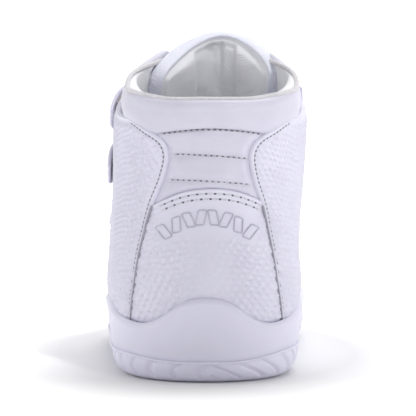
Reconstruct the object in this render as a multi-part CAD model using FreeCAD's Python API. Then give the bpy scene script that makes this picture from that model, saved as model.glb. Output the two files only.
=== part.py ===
"""High-top cheer shoe for the left foot, built as separate pieces around one last shape.

Units are millimetres. +X is the medial (big toe) side, +Y points to the toe, +Z is up, and the
origin is on the floor under the middle of the shoe. Stations (named y) are measured along the
shoe from the back of the heel, so Y = station + HEEL_Y.
"""

import FreeCAD
import Part
import math
import os

V = FreeCAD.Vector

# ---------------------------------------------------------------- driving dimensions
HEEL_Y = -130.0          # Y of the back of the heel: the sole is 260 long
TOE_SPRING = 9.0         # how far the sole lifts at the toe tip
SPRING_START = 172.0     # station where the sole starts to lift
SOLE_LENGTH = 260.0

LEATHER = 1.4            # upper leather
PROUD = 0.9              # how far the side panels stand above the back panels
LINING = 0.8             # lining cloth
PADDING_IN = -3.3        # inner face of the thin foam behind the leather
LINING_IN = -4.2         # inner face of the lining
COLLAR_EXTRA = 4.4       # extra padding at the back of the collar

FLOOR_Z = 9.5            # floor of the sole cup
OUTSOLE_TOP = 8.5        # split line between outsole and midsole
WALL_Z = [0, 3, 8.5, 14, 26, 36]
WALL_OUT = [-0.9, 0.7, 1.9, 1.8, 3.0, 3.0]   # sole wall outside the upper's widest outline
TOE_BUMPER = 2.5         # extra wall at the toe
LIP_BAND = 2.6           # height of the thin band along the lip
CUP_GAP = 1.35           # wall of the sole cup outside the last
FEATHER_ROOM = 1.2       # extra room in the cup round the lower edge of the upper

STRAP_WIDTH = 20.0
STRAP_IN = 2.65          # inner face of the straps
STRAP_OUT = 4.15
HOOK = (2.0, 2.6)        # hook tape under the free end of a strap
LOOP = (0.95, 1.65)      # loop tape on the lateral side panel
ANCHOR = (0.95, 2.6)     # stitched-down root of a strap on the medial side panel
TONGUE_OUT = -4.8
TONGUE_IN = -10.0
TONGUE_RIM = 3.0         # width of the binding round the tongue

# Levels of the last, from the feather edge up to above the collar: the back and front points
# of each level's loop, as (station, height).
BACK = [(6.5, 12), (3.0, 26), (2.5, 40), (4.5, 52), (7.5, 64), (9.5, 77), (9.0, 90), (6.5, 102),
        (4.0, 114), (2.5, 126)]
FRONT = [(251.5, 12), (254.5, 26), (246, 41), (223, 52.5), (190, 62), (153, 77), (124, 95),
         (106, 113), (97, 130), (92.5, 146)]
TOP_LEVEL = len(BACK) - 1

# Half widths of the last at its widest level, by station.
PLAN_Y = [3, 8, 22, 45, 80, 115, 150, 180, 208, 230, 246, 254.5]
PLAN_LATERAL = [0, 17.2, 29.6, 35.6, 38.6, 41.2, 42.6, 42.4, 39.6, 33.4, 21.5, 0]
PLAN_MEDIAL = [0, 17.2, 29.6, 35.0, 36.8, 39.4, 41.6, 42.6, 40.4, 33.6, 21.5, 0]
TOE_SHIFT = 5.0          # the toe tip lies this far to the medial side

# Half widths of the ankle, by height, and how far its centre lies to the medial side.
ANKLE_Z = [40, 62, 75, 91, 104, 114, 124, 146]
ANKLE_HALF = [36.4, 36.4, 36.1, 36.0, 35.5, 34.6, 33.0, 30.0]
SHIFT_Z = [30, 50, 72, 91, 111, 146]
SHIFT_X = [0, 0, 0.7, 1.4, 2.2, 4.8]

# Seam between a side panel and the back panels, seen from behind: half distance by height.
SEAM_Z = [10, 22, 30, 38, 47, 57, 66.7, 74, 79.6, 84.7, 88, 91, 94, 97.5, 101, 104]
SEAM_HALF = [28.6, 28.2, 27.4, 26.2, 24.8, 22.6, 20.2, 17.4, 15.8, 15.2, 16.0, 18.2, 22.5, 27.5,
             32.5, 36.5]
COLLAR_SEAM = [(44, 103.5), (55, 107), (65, 110.5), (76, 115), (90, 121), (112, 131)]
TOPLINE = [(-6, 106.6), (2, 106.8), (15, 107.6), (30, 112), (45, 117), (60, 122), (74, 127),
           (88, 131.5), (104, 136)]
BINDING = 2.6            # height of the binding along the topline
STITCH_ROW_Z = 94.2      # the row that parts the collar from the channelled panel
COUNTER_ARCH = [(-28, 62.5), (-19, 66.8), (-9, 71), (2, 72.4), (13, 71), (23, 66.8), (32, 62.5)]

# Seam between the vamp and the side panels, seen from the side, and the throat from above.
VAMP_SEAM = [(173, 84), (168, 70), (160, 50), (140, 35), (128, 14), (124, 0)]
THROAT_Y = [74, 88, 98, 116, 140, 158, 169, 175.2, 177]
THROAT_HALF = [24, 22, 20.5, 17, 14, 12, 9.5, 5, 0]
THROAT_X = [4.2, 3.0, 2.4, 1.7, 1.3, 1.0, 1.0, 1.1, 1.1]
EYESTAY = 9.0

# Sole lip height by angle round the loop (degrees from the back of the heel).
LIP_ANGLE = [0, 5, 9, 13, 18, 24, 30, 38, 46, 54, 68, 90, 110, 130, 150, 166, 180]
LIP_Z = [32, 31.3, 29.3, 26.2, 23.2, 21.9, 22.6, 24.6, 27.4, 28.6, 27.4, 25, 23.4, 23, 25, 28, 29.5]


# ---------------------------------------------------------------- smooth curves
def spline(xs, ys):
    """Natural cubic spline through the points, straight beyond both ends."""
    n = len(xs)
    h = [xs[i + 1] - xs[i] for i in range(n - 1)]
    slope = [(ys[i + 1] - ys[i]) / h[i] for i in range(n - 1)]
    diag, rhs, bend = [1.0] * n, [0.0] * n, [0.0] * n
    for i in range(1, n - 1):
        pull = h[i - 1] / diag[i - 1] if i > 1 else 0.0
        diag[i] = 2 * (h[i - 1] + h[i]) - pull * h[i - 1]
        rhs[i] = 6 * (slope[i] - slope[i - 1]) - pull * rhs[i - 1]
    for i in range(n - 2, 0, -1):
        bend[i] = (rhs[i] - h[i] * bend[i + 1]) / diag[i]

    def value(x):
        i = 0
        while i < n - 2 and x > xs[i + 1]:
            i += 1
        t = min(max(x, xs[0]), xs[-1]) - xs[i]
        start = slope[i] - h[i] * (2 * bend[i] + bend[i + 1]) / 6
        y = ys[i] + t * (start + t * (bend[i] / 2 + t * (bend[i + 1] - bend[i]) / (6 * h[i])))
        if x < xs[0]:
            y += (x - xs[0]) * start
        if x > xs[-1]:
            y += (x - xs[-1]) * (slope[-1] + h[-1] * bend[-2] / 6)
        return y

    return value


def ease(t):
    """0 below 0, 1 above 1, smooth between."""
    t = min(max(t, 0.0), 1.0)
    return t * t * (3 - 2 * t)


def spring(y):
    """Lift of the sole and everything on it towards the toe."""
    return TOE_SPRING * max(0.0, (y - SPRING_START) / (SOLE_LENGTH - SPRING_START)) ** 2


LEVELS = list(range(len(BACK)))
back_y = spline(LEVELS, [p[0] for p in BACK])
back_z = spline(LEVELS, [p[1] for p in BACK])
front_y = spline(LEVELS, [p[0] for p in FRONT])
front_z = spline(LEVELS, [p[1] for p in FRONT])
back_at = spline([p[1] for p in BACK], [p[0] for p in BACK])
front_at = spline([p[1] for p in FRONT], [p[0] for p in FRONT])
PLAN_SPAN = PLAN_Y[-1] - PLAN_Y[0]
plan_angles = [math.acos(1 - 2 * (y - PLAN_Y[0]) / PLAN_SPAN) for y in PLAN_Y]
plan_half = {-1: spline(plan_angles, PLAN_LATERAL), 1: spline(plan_angles, PLAN_MEDIAL)}
ankle_half = spline(ANKLE_Z, ANKLE_HALF)
shift_x = spline(SHIFT_Z, SHIFT_X)
seam_half = spline(SEAM_Z, SEAM_HALF)
lip_z = spline([math.radians(a) for a in LIP_ANGLE], LIP_Z)


# ---------------------------------------------------------------- the last
def waist(side, y):
    """Extra inset of the sole and feather edge under the arch."""
    depth = 5.0 if side > 0 else 2.0
    return depth * math.exp(-((y - 100) / 38.0) ** 2)


def crown(y):
    """Height of the top profile over a station of the forefoot."""
    lo, hi = 1.0, float(TOP_LEVEL)
    if y <= front_y(hi):
        return 260.0
    for _ in range(40):
        mid = (lo + hi) / 2
        if front_y(mid) > y:
            lo = mid
        else:
            hi = mid
    return front_z(lo)


def foot_width(side, y, z):
    toe = front_at(z) if z < 26 else PLAN_Y[-1]
    heel = back_at(z)
    share = min(max((y - heel) / (toe - heel), 0.0), 1.0)
    half = plan_half[side](math.acos(1 - 2 * share))
    inset = (3.0 + waist(side, y)) * max(0.0, (28 - z) / 16.0) ** 1.5 * ease(share * (1 - share) * 30)
    rise = max(0.0, (z - 26) / (crown(y) - 26))
    return max(0.0, half - inset) * math.sqrt(max(0.0, 1 - rise ** 2.3))


def ankle_width(y, z):
    heel, toe = back_at(z), front_at(z)
    share = min(max((y - heel) / (toe - heel), 0.0), 1.0)
    round_ = 4 * share * (1 - share)
    return ankle_half(z) * math.sqrt(round_) * (1 + 0.16 * (1 - round_) + 0.34 * (0.5 - share))


def side_point(level, turn):
    """Station and height at a level, turn radians round from the back (pi is the front)."""
    share = (1 - math.cos(turn)) / 2
    y = back_y(level) + (front_y(level) - back_y(level)) * share
    z = back_z(level) + (front_z(level) - back_z(level)) * share
    return y, z


def width_ratio(side, level, turn):
    y, z = side_point(level, turn)
    mix = ease((z - 46) / 34.0)
    width = (1 - mix) * foot_width(side, y, z) + mix * ankle_width(y, z)
    return width / math.sin(turn)


RATIO_TURNS = [math.radians(a) for a in range(10, 171, 10)]
ratio_at = {
    side: [spline(RATIO_TURNS, [width_ratio(side, k, t) for t in RATIO_TURNS]) for k in LEVELS]
    for side in (-1, 1)
}


def last(level, angle):
    """Point of the last's surface before the toe spring. angle runs from the back of the heel
    (0) round the medial side to the toe (pi) and on round the lateral side (2 pi)."""
    angle = angle % (2 * math.pi)
    side = 1 if angle <= math.pi else -1
    turn = angle if side > 0 else 2 * math.pi - angle
    y, z = side_point(level, turn)
    ratio = spline(LEVELS, [ratio_at[side][k](turn) for k in LEVELS])(level)
    x = TOE_SHIFT * ease((y - 150) / 105.0) + shift_x(z) + math.sin(angle) * ratio
    return V(x, y, z)


def normal(level, angle):
    """Outward unit normal of the last."""
    d = 0.02
    low, high = max(level - d, 0.0), min(level + d, float(TOP_LEVEL))
    up = last(high, angle) - last(low, angle)
    along = last(level, angle + d) - last(level, angle - d)
    n = along.cross(up)
    n.normalize()
    return n


def place(p):
    """From station coordinates to the model's frame, with the toe spring."""
    return V(p.x, p.y + HEEL_Y, p.z + spring(p.y))


def on_last(level, angle, off):
    return place(last(level, angle) + normal(level, angle) * off)


# ---------------------------------------------------------------- solids from grids
def surface(points):
    s = Part.BSplineSurface()
    s.interpolate(points)
    return s


def solid_between(outer, inner):
    """Closed solid between two grids of points with the same size."""
    a, b = surface(outer), surface(inner)
    faces = [a.toShape(), b.toShape()]
    u0, u1, v0, v1 = a.bounds()
    p0, p1, q0, q1 = b.bounds()
    for ca, cb in ((a.uIso(u0), b.uIso(p0)), (a.uIso(u1), b.uIso(p1)),
                   (a.vIso(v0), b.vIso(q0)), (a.vIso(v1), b.vIso(q1))):
        faces.append(Part.makeRuledSurface(ca.toShape(), cb.toShape()))
    shell = Part.Compound(faces)
    shell.sewShape(0.001)
    solid = Part.Solid(shell.Shells[0])
    if solid.Volume < 0:
        solid.reverse()
    return solid


def number(value, *where):
    return value(*where) if callable(value) else value


def patch(where, inside, outside, rows=14, columns=26):
    """A sheet of material on the last between two offsets (numbers or functions of level and
    angle). where(s, t) gives the level and angle for s and t from 0 to 1."""
    outer, inner = [], []
    for i in range(rows + 1):
        out_row, in_row = [], []
        for j in range(columns + 1):
            level, angle = where(i / rows, j / columns)
            base, n = last(level, angle), normal(level, angle)
            out_row.append(place(base + n * number(outside, level, angle)))
            in_row.append(place(base + n * number(inside, level, angle)))
        outer.append(out_row)
        inner.append(in_row)
    return solid_between(outer, inner)


def layer(levels, degrees, inside, outside, rows=14, columns=26):
    """A patch between two levels and two angles."""
    def where(s, t):
        level = levels[0] + (levels[1] - levels[0]) * s
        return level, math.radians(degrees[0] + (degrees[1] - degrees[0]) * t)

    return patch(where, inside, outside, rows, columns)


# ---------------------------------------------------------------- cutters
def prism(outline, make, direction):
    """Solid from an outline: each entry is a list of points joined by one smooth curve."""
    edges = []
    for curve in outline:
        points = [make(*p) for p in curve]
        if len(points) == 2:
            edges.append(Part.LineSegment(*points).toShape())
        else:
            smooth = Part.BSplineCurve()
            smooth.interpolate(points)
            edges.append(smooth.toShape())
    face = Part.Face(Part.Wire(Part.__sortEdges__(edges)))
    return face.extrude(direction)


def side_cutter(outline, x0=-90, x1=90):
    """Outline given as (station, height), extruded from x0 to x1."""
    return prism(outline, lambda y, z: V(x0, y + HEEL_Y, z), V(x1 - x0, 0, 0))


def back_cutter(outline, y0, y1):
    """Outline given as (x, height), extruded between two stations."""
    return prism(outline, lambda x, z: V(x, y0 + HEEL_Y, z), V(0, y1 - y0, 0))


def plan_cutter(outline, z0, z1):
    """Outline given as (x, station), extruded between two heights."""
    return prism(outline, lambda x, y: V(x, y + HEEL_Y, z0), V(0, 0, z1 - z0))


def closing(curve, *corners):
    """The curve, then straight lines through the corners back to its start."""
    stops = [curve[-1], *corners, curve[0]]
    return [curve] + [[stops[i], stops[i + 1]] for i in range(len(stops) - 1)]


def seam_curve(side, z0, z1, count=24):
    """Edge of the back panels on one side, as (x, height)."""
    heights = [z0 + (z1 - z0) * i / count for i in range(count + 1)]
    return [(shift_x(z) + side * seam_half(z), z) for z in heights]


def throat(grow, z0=40):
    """The throat opening from above, grown by a margin."""
    ys = [y + grow * ease((y - 160) / 17.0) for y in THROAT_Y]
    right = [(THROAT_X[i] + THROAT_HALF[i] + grow * (1 - ease((THROAT_Y[i] - 165) / 12.0) * 0.45), y)
             for i, y in enumerate(ys)]
    left = [(2 * THROAT_X[i] - p[0], p[1]) for i, p in enumerate(right)]
    right[-1] = (THROAT_X[-1], ys[-1])
    curve = right + left[-2::-1]
    return plan_cutter(closing(curve), z0, 200)


def below_topline(drop):
    curve = [(y, z - drop) for y, z in TOPLINE]
    return side_cutter(closing(curve, (104, -10), (-6, -10)))


def rear_of_seam():
    """Everything behind the seam between vamp and side panels."""
    return side_cutter(closing(VAMP_SEAM, (-30, 0), (-30, 200), (173, 200)))


def side_panel_zone(side):
    """The part of one side covered by its side panel."""
    back_part = back_cutter(closing(seam_curve(side, 6, 104), (side * 80, 104), (side * 80, 6)),
                            -20, 44)
    outline = [COLLAR_SEAM, [COLLAR_SEAM[-1], (173, 131)], [(173, 131), VAMP_SEAM[0]],
               VAMP_SEAM, [VAMP_SEAM[-1], (44, 0)], [(44, 0), COLLAR_SEAM[0]]]
    front_part = side_cutter(outline, min(0, side * 90), max(0, side * 90))
    return back_part.fuse(front_part)


# ---------------------------------------------------------------- sole
def loop_wire(points):
    curve = Part.BSplineCurve()
    curve.interpolate(Points=points, PeriodicFlag=True)
    return Part.Wire(curve.toShape())


LOOP_ANGLES = [math.radians(a) for a in range(0, 360, 6)]


def wall_loop(z, extra=0.0):
    """Outline of the sole's outer wall at one height."""
    points = []
    for angle in LOOP_ANGLES:
        p, n = last(1, angle), normal(1, angle)
        n.z = 0
        n.normalize()
        height = z - spring(p.y)
        turn = min(angle, 2 * math.pi - angle)
        out = wall_out(height) + TOE_BUMPER * ease((turn - 2.3) / 0.8) + extra
        side = 1 if angle <= math.pi else -1
        out -= waist(side, p.y) * max(0.0, (26 - height) / 26.0) ** 1.3
        points.append(V(p.x + n.x * out, p.y + n.y * out + HEEL_Y, z))
    return loop_wire(points)


def cup_loop(z, gap):
    """Outline of the last plus a margin at one height, wider round the upper's lower edge."""
    points = []
    for angle in LOOP_ANGLES:
        off = gap + FEATHER_ROOM * ease((21 - z + spring(last(0, angle).y)) / 6)
        lo, hi = -1.5, 4.0
        for _ in range(22):
            mid = (lo + hi) / 2
            if on_last(mid, angle, off).z > z:
                hi = mid
            else:
                lo = mid
        p = on_last(lo, angle, off)
        points.append(V(p.x, p.y, z))
    return loop_wire(points)


def loft(wires):
    return Part.makeLoft(wires, True, False)


def sprung_line(height):
    """Line at a height above the sole's underside: straight, then bending up with the toe."""
    bend = [(y, height + spring(y)) for y in range(int(SPRING_START), 273, 10)]
    return [[(-12, height), bend[0]], bend]


def band(bottom, top):
    """Slab between two heights above the sole's underside."""
    low, high = sprung_line(bottom), sprung_line(top)
    ends = [[low[0][0], high[0][0]], [low[1][-1], high[1][-1]]]
    return side_cutter(low + high + ends)


def below_lip(drop):
    """Everything under the lip of the sole cup."""
    curve = []
    for turn in [math.radians(a) for a in (0, 8, 12, 16, 20, 25, 31, 38, 46, 54, 68, 90, 110, 130,
                                           150, 166, 180)]:
        y = last(1, turn).y - 3 * math.cos(turn)
        curve.append((y, lip_z(turn) - drop + spring(y)))
    curve = [(-8, curve[0][1] + 1)] + curve + [(272, curve[-1][1] + 3)]
    return side_cutter(closing(curve, (272, -10), (-8, -10)))


def slab(level, off, z0, z1):
    """Flat sheet inside the shoe, with the outline of the last at a level plus a margin."""
    points = []
    for angle in LOOP_ANGLES:
        p = on_last(level, angle, off)
        points.append(V(p.x, p.y, -10))
    return Part.Face(loop_wire(points)).extrude(V(0, 0, 60)).common(band(z0, z1))


wall_out = spline(WALL_Z, WALL_OUT)


def sole_parts():
    wall = loft([wall_loop(z) for z in (-3, 2, 5, 8.5, 12, 17, 22, 27, 33, 40, 46)])
    cup = loft([cup_loop(z, CUP_GAP) for z in (8, 12, 16, 20, 25, 31, 38, 45, 50)])
    cup = cup.common(band(FLOOR_Z, 60))
    midsole = wall.common(band(OUTSOLE_TOP, 60)).common(below_lip(LIP_BAND))
    lip = loft([wall_loop(z, -0.9) for z in (8, 17, 22, 27, 33, 40, 46)])
    lip = lip.common(band(FLOOR_Z, 60)).common(below_lip(0))
    midsole = midsole.fuse(lip).cut(cup)
    outsole = wall.common(band(0, OUTSOLE_TOP - 0.02))
    for y in (28, 44, 60, 132, 150, 168, 186, 204):
        groove = side_cutter([[(y - 1.2, -5), (y + 1.2, -5)], [(y + 1.2, -5), (y + 1.2, 1.6 + spring(y))],
                              [(y + 1.2, 1.6 + spring(y)), (y - 1.2, 1.6 + spring(y))],
                              [(y - 1.2, 1.6 + spring(y)), (y - 1.2, -5)]])
        outsole = outsole.cut(groove)
    return {
        "outsole": outsole,
        "midsole": midsole,
        "lasting_board": slab(0, -6.8, FLOOR_Z + 0.1, 11.6),
        "sockliner": slab(0.1, -5.3, 12.0, 16.4),
    }


# ---------------------------------------------------------------- upper
def padding(level, angle):
    """Extra thickness of the padding towards the back and top of the collar."""
    turn = min(angle % (2 * math.pi), 2 * math.pi - angle % (2 * math.pi))
    return COLLAR_EXTRA * ease((level - 4.6) / 1.6) * (1 - ease((turn - 0.85) / 0.75))


def padded(off):
    return lambda level, angle: off - padding(level, angle)


def back_panels():
    """Collar, channelled back panel and heel counter cover."""
    base = layer((0.02, 7.6), (-92, 92), -LEATHER, 0, 22, 30)
    arch = closing(COUNTER_ARCH, (60, 62.5), (60, -5), (-60, -5), (-60, 62.5))
    counter_zone = back_cutter(arch, -20, 60)
    outline = [seam_curve(1, 6, STITCH_ROW_Z), seam_curve(-1, 6, STITCH_ROW_Z)]
    for z, i in ((6, 0), (STITCH_ROW_Z, -1)):
        outline.append([outline[0][i], outline[1][i]])
    zone = back_cutter(outline, -20, 44)
    panel = base.common(zone)
    cover = layer((0.02, 5.2), (-75, 75), -LEATHER, 0.35, 16, 26).common(zone)
    collar = layer((6.0, 8.7), (-152, 152), -LEATHER, 0, 12, 44)
    collar = collar.common(below_topline(BINDING)).cut(throat(0.1))
    low_box = side_cutter([[(-20, 60), (44, 60)], [(44, 60), (44, STITCH_ROW_Z)],
                           [(44, STITCH_ROW_Z), (-20, STITCH_ROW_Z)], [(-20, STITCH_ROW_Z), (-20, 60)]])
    collar = collar.cut(low_box).cut(side_panel_zone(1)).cut(side_panel_zone(-1))
    return {
        "achilles_panel": panel.cut(counter_zone),
        "heel_counter_cover": cover.common(counter_zone),
        "collar_panel": collar,
    }


def side_panels():
    parts = {}
    for side, name, degrees in ((1, "medial", (8, 172)), (-1, "lateral", (188, 352))):
        panel = layer((0.02, 8.2), degrees, -LEATHER, PROUD, 24, 34)
        parts["quarter_" + name] = panel.common(side_panel_zone(side)).cut(throat(0))
        stay = layer((4.0, 7.9), (122, 180) if side > 0 else (180, 238), PROUD + 0.05, PROUD + 0.95)
        half = side_cutter(closing([(40, 0), (200, 0)], (200, 200), (40, 200)),
                           *sorted((side * 0.3 + THROAT_X[-1], side * 90)))
        stay = stay.common(throat(EYESTAY, 30)).common(half).cut(throat(0)).common(rear_of_seam())
        parts["eyestay_" + name] = stay.common(side_panel_zone(side))
    return parts


def toe_zone(back):
    curve = [(x, back - 38 * (x / 42.0) ** 2) for x in range(-56, 57, 8)]
    return plan_cutter(closing(curve, (56, 290), (-56, 290)), -10, 120)


def forefoot():
    rear, cap, puff = rear_of_seam(), toe_zone(216), toe_zone(212)
    vamp = layer((0.08, 5.2), (78, 282), -LEATHER, 0, 16, 40)
    backer = layer((0.05, 5.2), (78, 282), -2.5, -1.5, 16, 40)
    lining = layer((0.05, 5.2), (78, 282), -3.4, -2.6, 16, 40)
    cover = layer((0.18, 4.6), (100, 260), 0.05, PROUD, 14, 36)
    return {
        "vamp": vamp.cut(rear).cut(throat(0)),
        "toe_cap": cover.common(cap),
        "vamp_backer": backer.cut(rear).cut(throat(1)).cut(puff),
        "toe_puff": backer.common(puff),
        "vamp_lining": lining.cut(rear).cut(throat(1)),
    }


def padding_and_lining():
    rear = rear_of_seam()
    parts = {
        "heel_stiffener": layer((0.05, 3.4), (-78, 78), PADDING_IN, -1.6),
        "heel_lining": layer((0.05, 3.4), (-150, 150), LINING_IN, -3.4, 12, 44).common(rear),
        "collar_foam": layer((3.5, 8.7), (-160, 160), padded(PADDING_IN), -1.6, 20, 48),
        "collar_lining": layer((3.5, 8.7), (-160, 160), padded(LINING_IN), padded(-3.4), 20, 48),
        "topline_binding": layer((6.9, 8.9), (-152, 152), padded(LINING_IN - 0.1), 0.5, 10, 44),
    }
    for name, degrees in (("medial", (80, 150)), ("lateral", (210, 280))):
        parts["quarter_backer_" + name] = layer((0.05, 3.4), degrees, PADDING_IN, -1.6).common(rear)
    for name in ("collar_foam", "collar_lining"):
        parts[name] = parts[name].common(rear).common(below_topline(BINDING)).cut(throat(1.7))
    rim = parts["topline_binding"].common(below_topline(0)).cut(below_topline(BINDING - 0.05))
    parts["topline_binding"] = rim.cut(throat(0.5))
    return parts


# ---------------------------------------------------------------- tongue
tongue_half = spline([4.2, 5, 6, 7, 7.7, 8.6], [22, 36, 48, 60, 63, 63])


def tongue_patch(inset, inside, outside, low=4.3):
    """Sheet in the outline of the tongue, drawn in from its edge by an inset."""
    def where(s, t):
        across = -math.cos(math.pi * t)
        top = 7.7 + 0.87 * (1 - abs(across) ** 2.6) ** 0.55 - inset * 0.06
        level = low + (top - low) * s
        half = tongue_half(level) - inset * 1.75
        return level, math.radians(180 + half * across)

    return patch(where, inside, outside, 18, 26)


def tongue_parts():
    rim = tongue_patch(0, TONGUE_IN - 0.2, TONGUE_OUT + 0.2)
    return {
        "tongue_shell": tongue_patch(TONGUE_RIM, TONGUE_OUT - 1.0, TONGUE_OUT),
        "tongue_foam": tongue_patch(TONGUE_RIM, TONGUE_IN + 0.9, TONGUE_OUT - 1.1),
        "tongue_lining": tongue_patch(TONGUE_RIM, TONGUE_IN, TONGUE_IN + 0.8),
        "tongue_binding": rim.cut(tongue_patch(TONGUE_RIM - 0.05, TONGUE_IN - 2, TONGUE_OUT + 2, 4.1)),
    }


# ---------------------------------------------------------------- straps
# Each strap: degrees and levels of its centre line from the medial root to the lateral end.
STRAPS = {
    "upper": ([108, 140, 180, 220, 265], [6.85, 7.08, 7.22, 7.02, 6.62], STRAP_WIDTH),
    "middle": ([97, 135, 180, 230, 287], [5.68, 6.02, 6.12, 5.9, 5.2], STRAP_WIDTH),
    "lower": ([101, 140, 180, 220, 268], [3.95, 4.6, 4.82, 4.5, 3.45], 18.0),
}


def stretch(level, angle):
    """Millimetres along the last per level."""
    return (last(level + 0.25, angle) - last(level - 0.25, angle)).Length * 2


def strap_patch(name, start, end, width_share, inside, outside, columns=30):
    """Part of a strap between two shares of its length, rounded at the free end."""
    degrees, levels, width = STRAPS[name]
    centre = spline(degrees, levels)

    def where(s, t):
        share = start + (end - start) * t
        degree = degrees[0] + (degrees[-1] - degrees[0]) * share
        angle = math.radians(degree)
        full = width * width_share
        if share > 0.95:
            full *= 1 - 0.5 * ((share - 0.95) / 0.05) ** 3
        level = centre(degree)
        return level + (s - 0.5) * full / stretch(level, angle), angle

    return patch(where, inside, outside, 8, columns)


def hinge_line(name):
    """Middle and direction of the fold at a strap's root."""
    degrees, levels, width = STRAPS[name]
    angle = math.radians(degrees[0])
    middle = on_last(levels[0], angle, (STRAP_IN + STRAP_OUT) / 2)
    along = last(levels[0] + 0.25, angle) - last(levels[0] - 0.25, angle)
    along.normalize()
    return middle, along


def strap_parts():
    parts = {}
    for name in STRAPS:
        parts[name + "_strap"] = strap_patch(name, 0.0, 1.0, 1.0, STRAP_IN, STRAP_OUT)
        parts[name + "_strap_hook"] = strap_patch(name, 0.87, 0.975, 0.8, *HOOK, columns=8)
        parts[name + "_strap_loop"] = strap_patch(name, 0.86, 0.99, 0.86, *LOOP, columns=8)
        parts[name + "_strap_anchor"] = strap_patch(name, -0.10, -0.015, 1.0, *ANCHOR, columns=8)
    return parts


def build():
    parts = {}
    for group in (sole_parts, back_panels, side_panels, forefoot, padding_and_lining,
                  tongue_parts, strap_parts):
        parts.update(group())
    return parts


def main():
    os.makedirs("parts", exist_ok=True)
    for name, shape in build().items():
        shape.exportStep(os.path.join("parts", name + ".step"))


main()
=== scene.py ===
"""Visual model of a white high-top cheer shoe (left foot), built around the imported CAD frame.

Lengths inside the script are millimetres; meshes are written in metres. Stations run along the
shoe from the back of the heel, so Y = station + HEEL_Y, as in the CAD source.
"""

import math

import bpy
import numpy as np
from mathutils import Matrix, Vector


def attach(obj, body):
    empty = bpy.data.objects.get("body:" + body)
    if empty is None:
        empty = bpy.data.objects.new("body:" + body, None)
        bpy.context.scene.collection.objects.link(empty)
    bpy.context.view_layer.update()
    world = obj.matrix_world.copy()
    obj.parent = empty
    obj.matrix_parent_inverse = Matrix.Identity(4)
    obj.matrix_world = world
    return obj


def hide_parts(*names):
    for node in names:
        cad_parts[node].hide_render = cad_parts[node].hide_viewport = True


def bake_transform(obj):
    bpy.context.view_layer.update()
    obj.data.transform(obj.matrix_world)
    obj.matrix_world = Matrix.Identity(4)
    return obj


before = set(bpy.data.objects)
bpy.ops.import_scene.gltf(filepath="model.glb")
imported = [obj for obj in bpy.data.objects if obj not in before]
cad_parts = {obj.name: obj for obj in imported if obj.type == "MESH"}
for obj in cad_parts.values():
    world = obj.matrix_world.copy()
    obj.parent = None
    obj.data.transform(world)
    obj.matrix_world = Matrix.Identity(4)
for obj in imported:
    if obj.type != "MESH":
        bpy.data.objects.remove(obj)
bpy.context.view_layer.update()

HEEL_Y = -130.0
TOE_SPRING = 9.0
SPRING_START = 172.0
SOLE_LENGTH = 260.0
FINE = 1.0

# ---------------------------------------------------------------- the last, as in the CAD
BACK = [(6.5, 12), (3.0, 26), (2.5, 40), (4.5, 52), (7.5, 64), (9.5, 77), (9.0, 90), (6.5, 102),
        (4.0, 114), (2.5, 126)]
FRONT = [(251.5, 12), (254.5, 26), (246, 41), (223, 52.5), (190, 62), (153, 77), (124, 95),
         (106, 113), (97, 130), (92.5, 146)]
PLAN_Y = [3, 8, 22, 45, 80, 115, 150, 180, 208, 230, 246, 254.5]
PLAN_LATERAL = [0, 17.2, 29.6, 35.6, 38.6, 41.2, 42.6, 42.4, 39.6, 33.4, 21.5, 0]
PLAN_MEDIAL = [0, 17.2, 29.6, 35.0, 36.8, 39.4, 41.6, 42.6, 40.4, 33.6, 21.5, 0]
TOE_SHIFT = 5.0
ANKLE_Z = [40, 62, 75, 91, 104, 114, 124, 146]
ANKLE_HALF = [36.4, 36.4, 36.1, 36.0, 35.5, 34.6, 33.0, 30.0]
SHIFT_Z = [30, 50, 72, 91, 111, 146]
SHIFT_X = [0, 0, 0.7, 1.4, 2.2, 4.8]
SEAM_Z = [10, 22, 30, 38, 47, 57, 66.7, 74, 79.6, 84.7, 88, 91, 94, 97.5, 101, 104]
SEAM_HALF = [28.6, 28.2, 27.4, 26.2, 24.8, 22.6, 20.2, 17.4, 15.8, 15.2, 16.0, 18.2, 22.5, 27.5,
             32.5, 36.5]
COLLAR_SEAM = [(-10, 96), (20, 99.2), (36, 101.5), (44, 103.5), (55, 107), (65, 110.5), (76, 115),
               (90, 121), (112, 131)]
TOPLINE = [(-6, 106.6), (2, 106.8), (15, 107.6), (30, 112), (45, 117), (60, 122), (74, 127),
           (88, 131.5), (104, 136)]
ROW_Z = [94.2, 84.9, 76.4]            # stitched rows of the channelled panel
COUNTER_ARCH = [(-28, 62.5), (-19, 66.8), (-9, 71), (2, 72.4), (13, 71), (23, 66.8), (32, 62.5)]
VAMP_SEAM = [(124, 0), (128, 14), (140, 35), (160, 50), (168, 70), (173, 84)]
THROAT_Y = [74, 88, 98, 116, 140, 160]
THROAT_HALF = [24, 22, 20.5, 17, 14, 12]
THROAT_X = [4.2, 3.0, 2.4, 1.7, 1.3, 1.0]
LIP_ANGLE = [0, 5, 9, 13, 18, 24, 30, 38, 46, 54, 68, 90, 110, 130, 150, 166, 180]
LIP_Z = [32, 31.3, 29.3, 26.2, 23.2, 21.9, 22.6, 24.6, 27.4, 28.6, 27.4, 25, 23.4, 23, 25, 28, 29.5]
WALL_Z = [0, 3, 8.5, 14, 26, 36]
WALL_OUT = [-0.9, 0.7, 1.9, 1.8, 3.0, 3.0]
WAIST = {1: 5.0, -1: 2.0}             # how far the sole's edge draws in, medial and lateral
WAIST_Y, WAIST_REACH = 100, 38.0
TOE_BUMPER = 2.5
COLLAR_EXTRA = 4.4                    # padding of the collar round the heel
WIDEST_Z = 26                         # height at which the foot is widest
PROUD = 0.9                           # how far the side panels and the toe cap stand out
CAP_Y, CAP_BOW, CAP_HALF = 216, 38, 42.0          # seam of the toe cap
THROAT_END, THROAT_END_HALF, THROAT_END_REACH = 160, 12, 17       # its round front end
TOP = len(BACK) - 1


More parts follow.
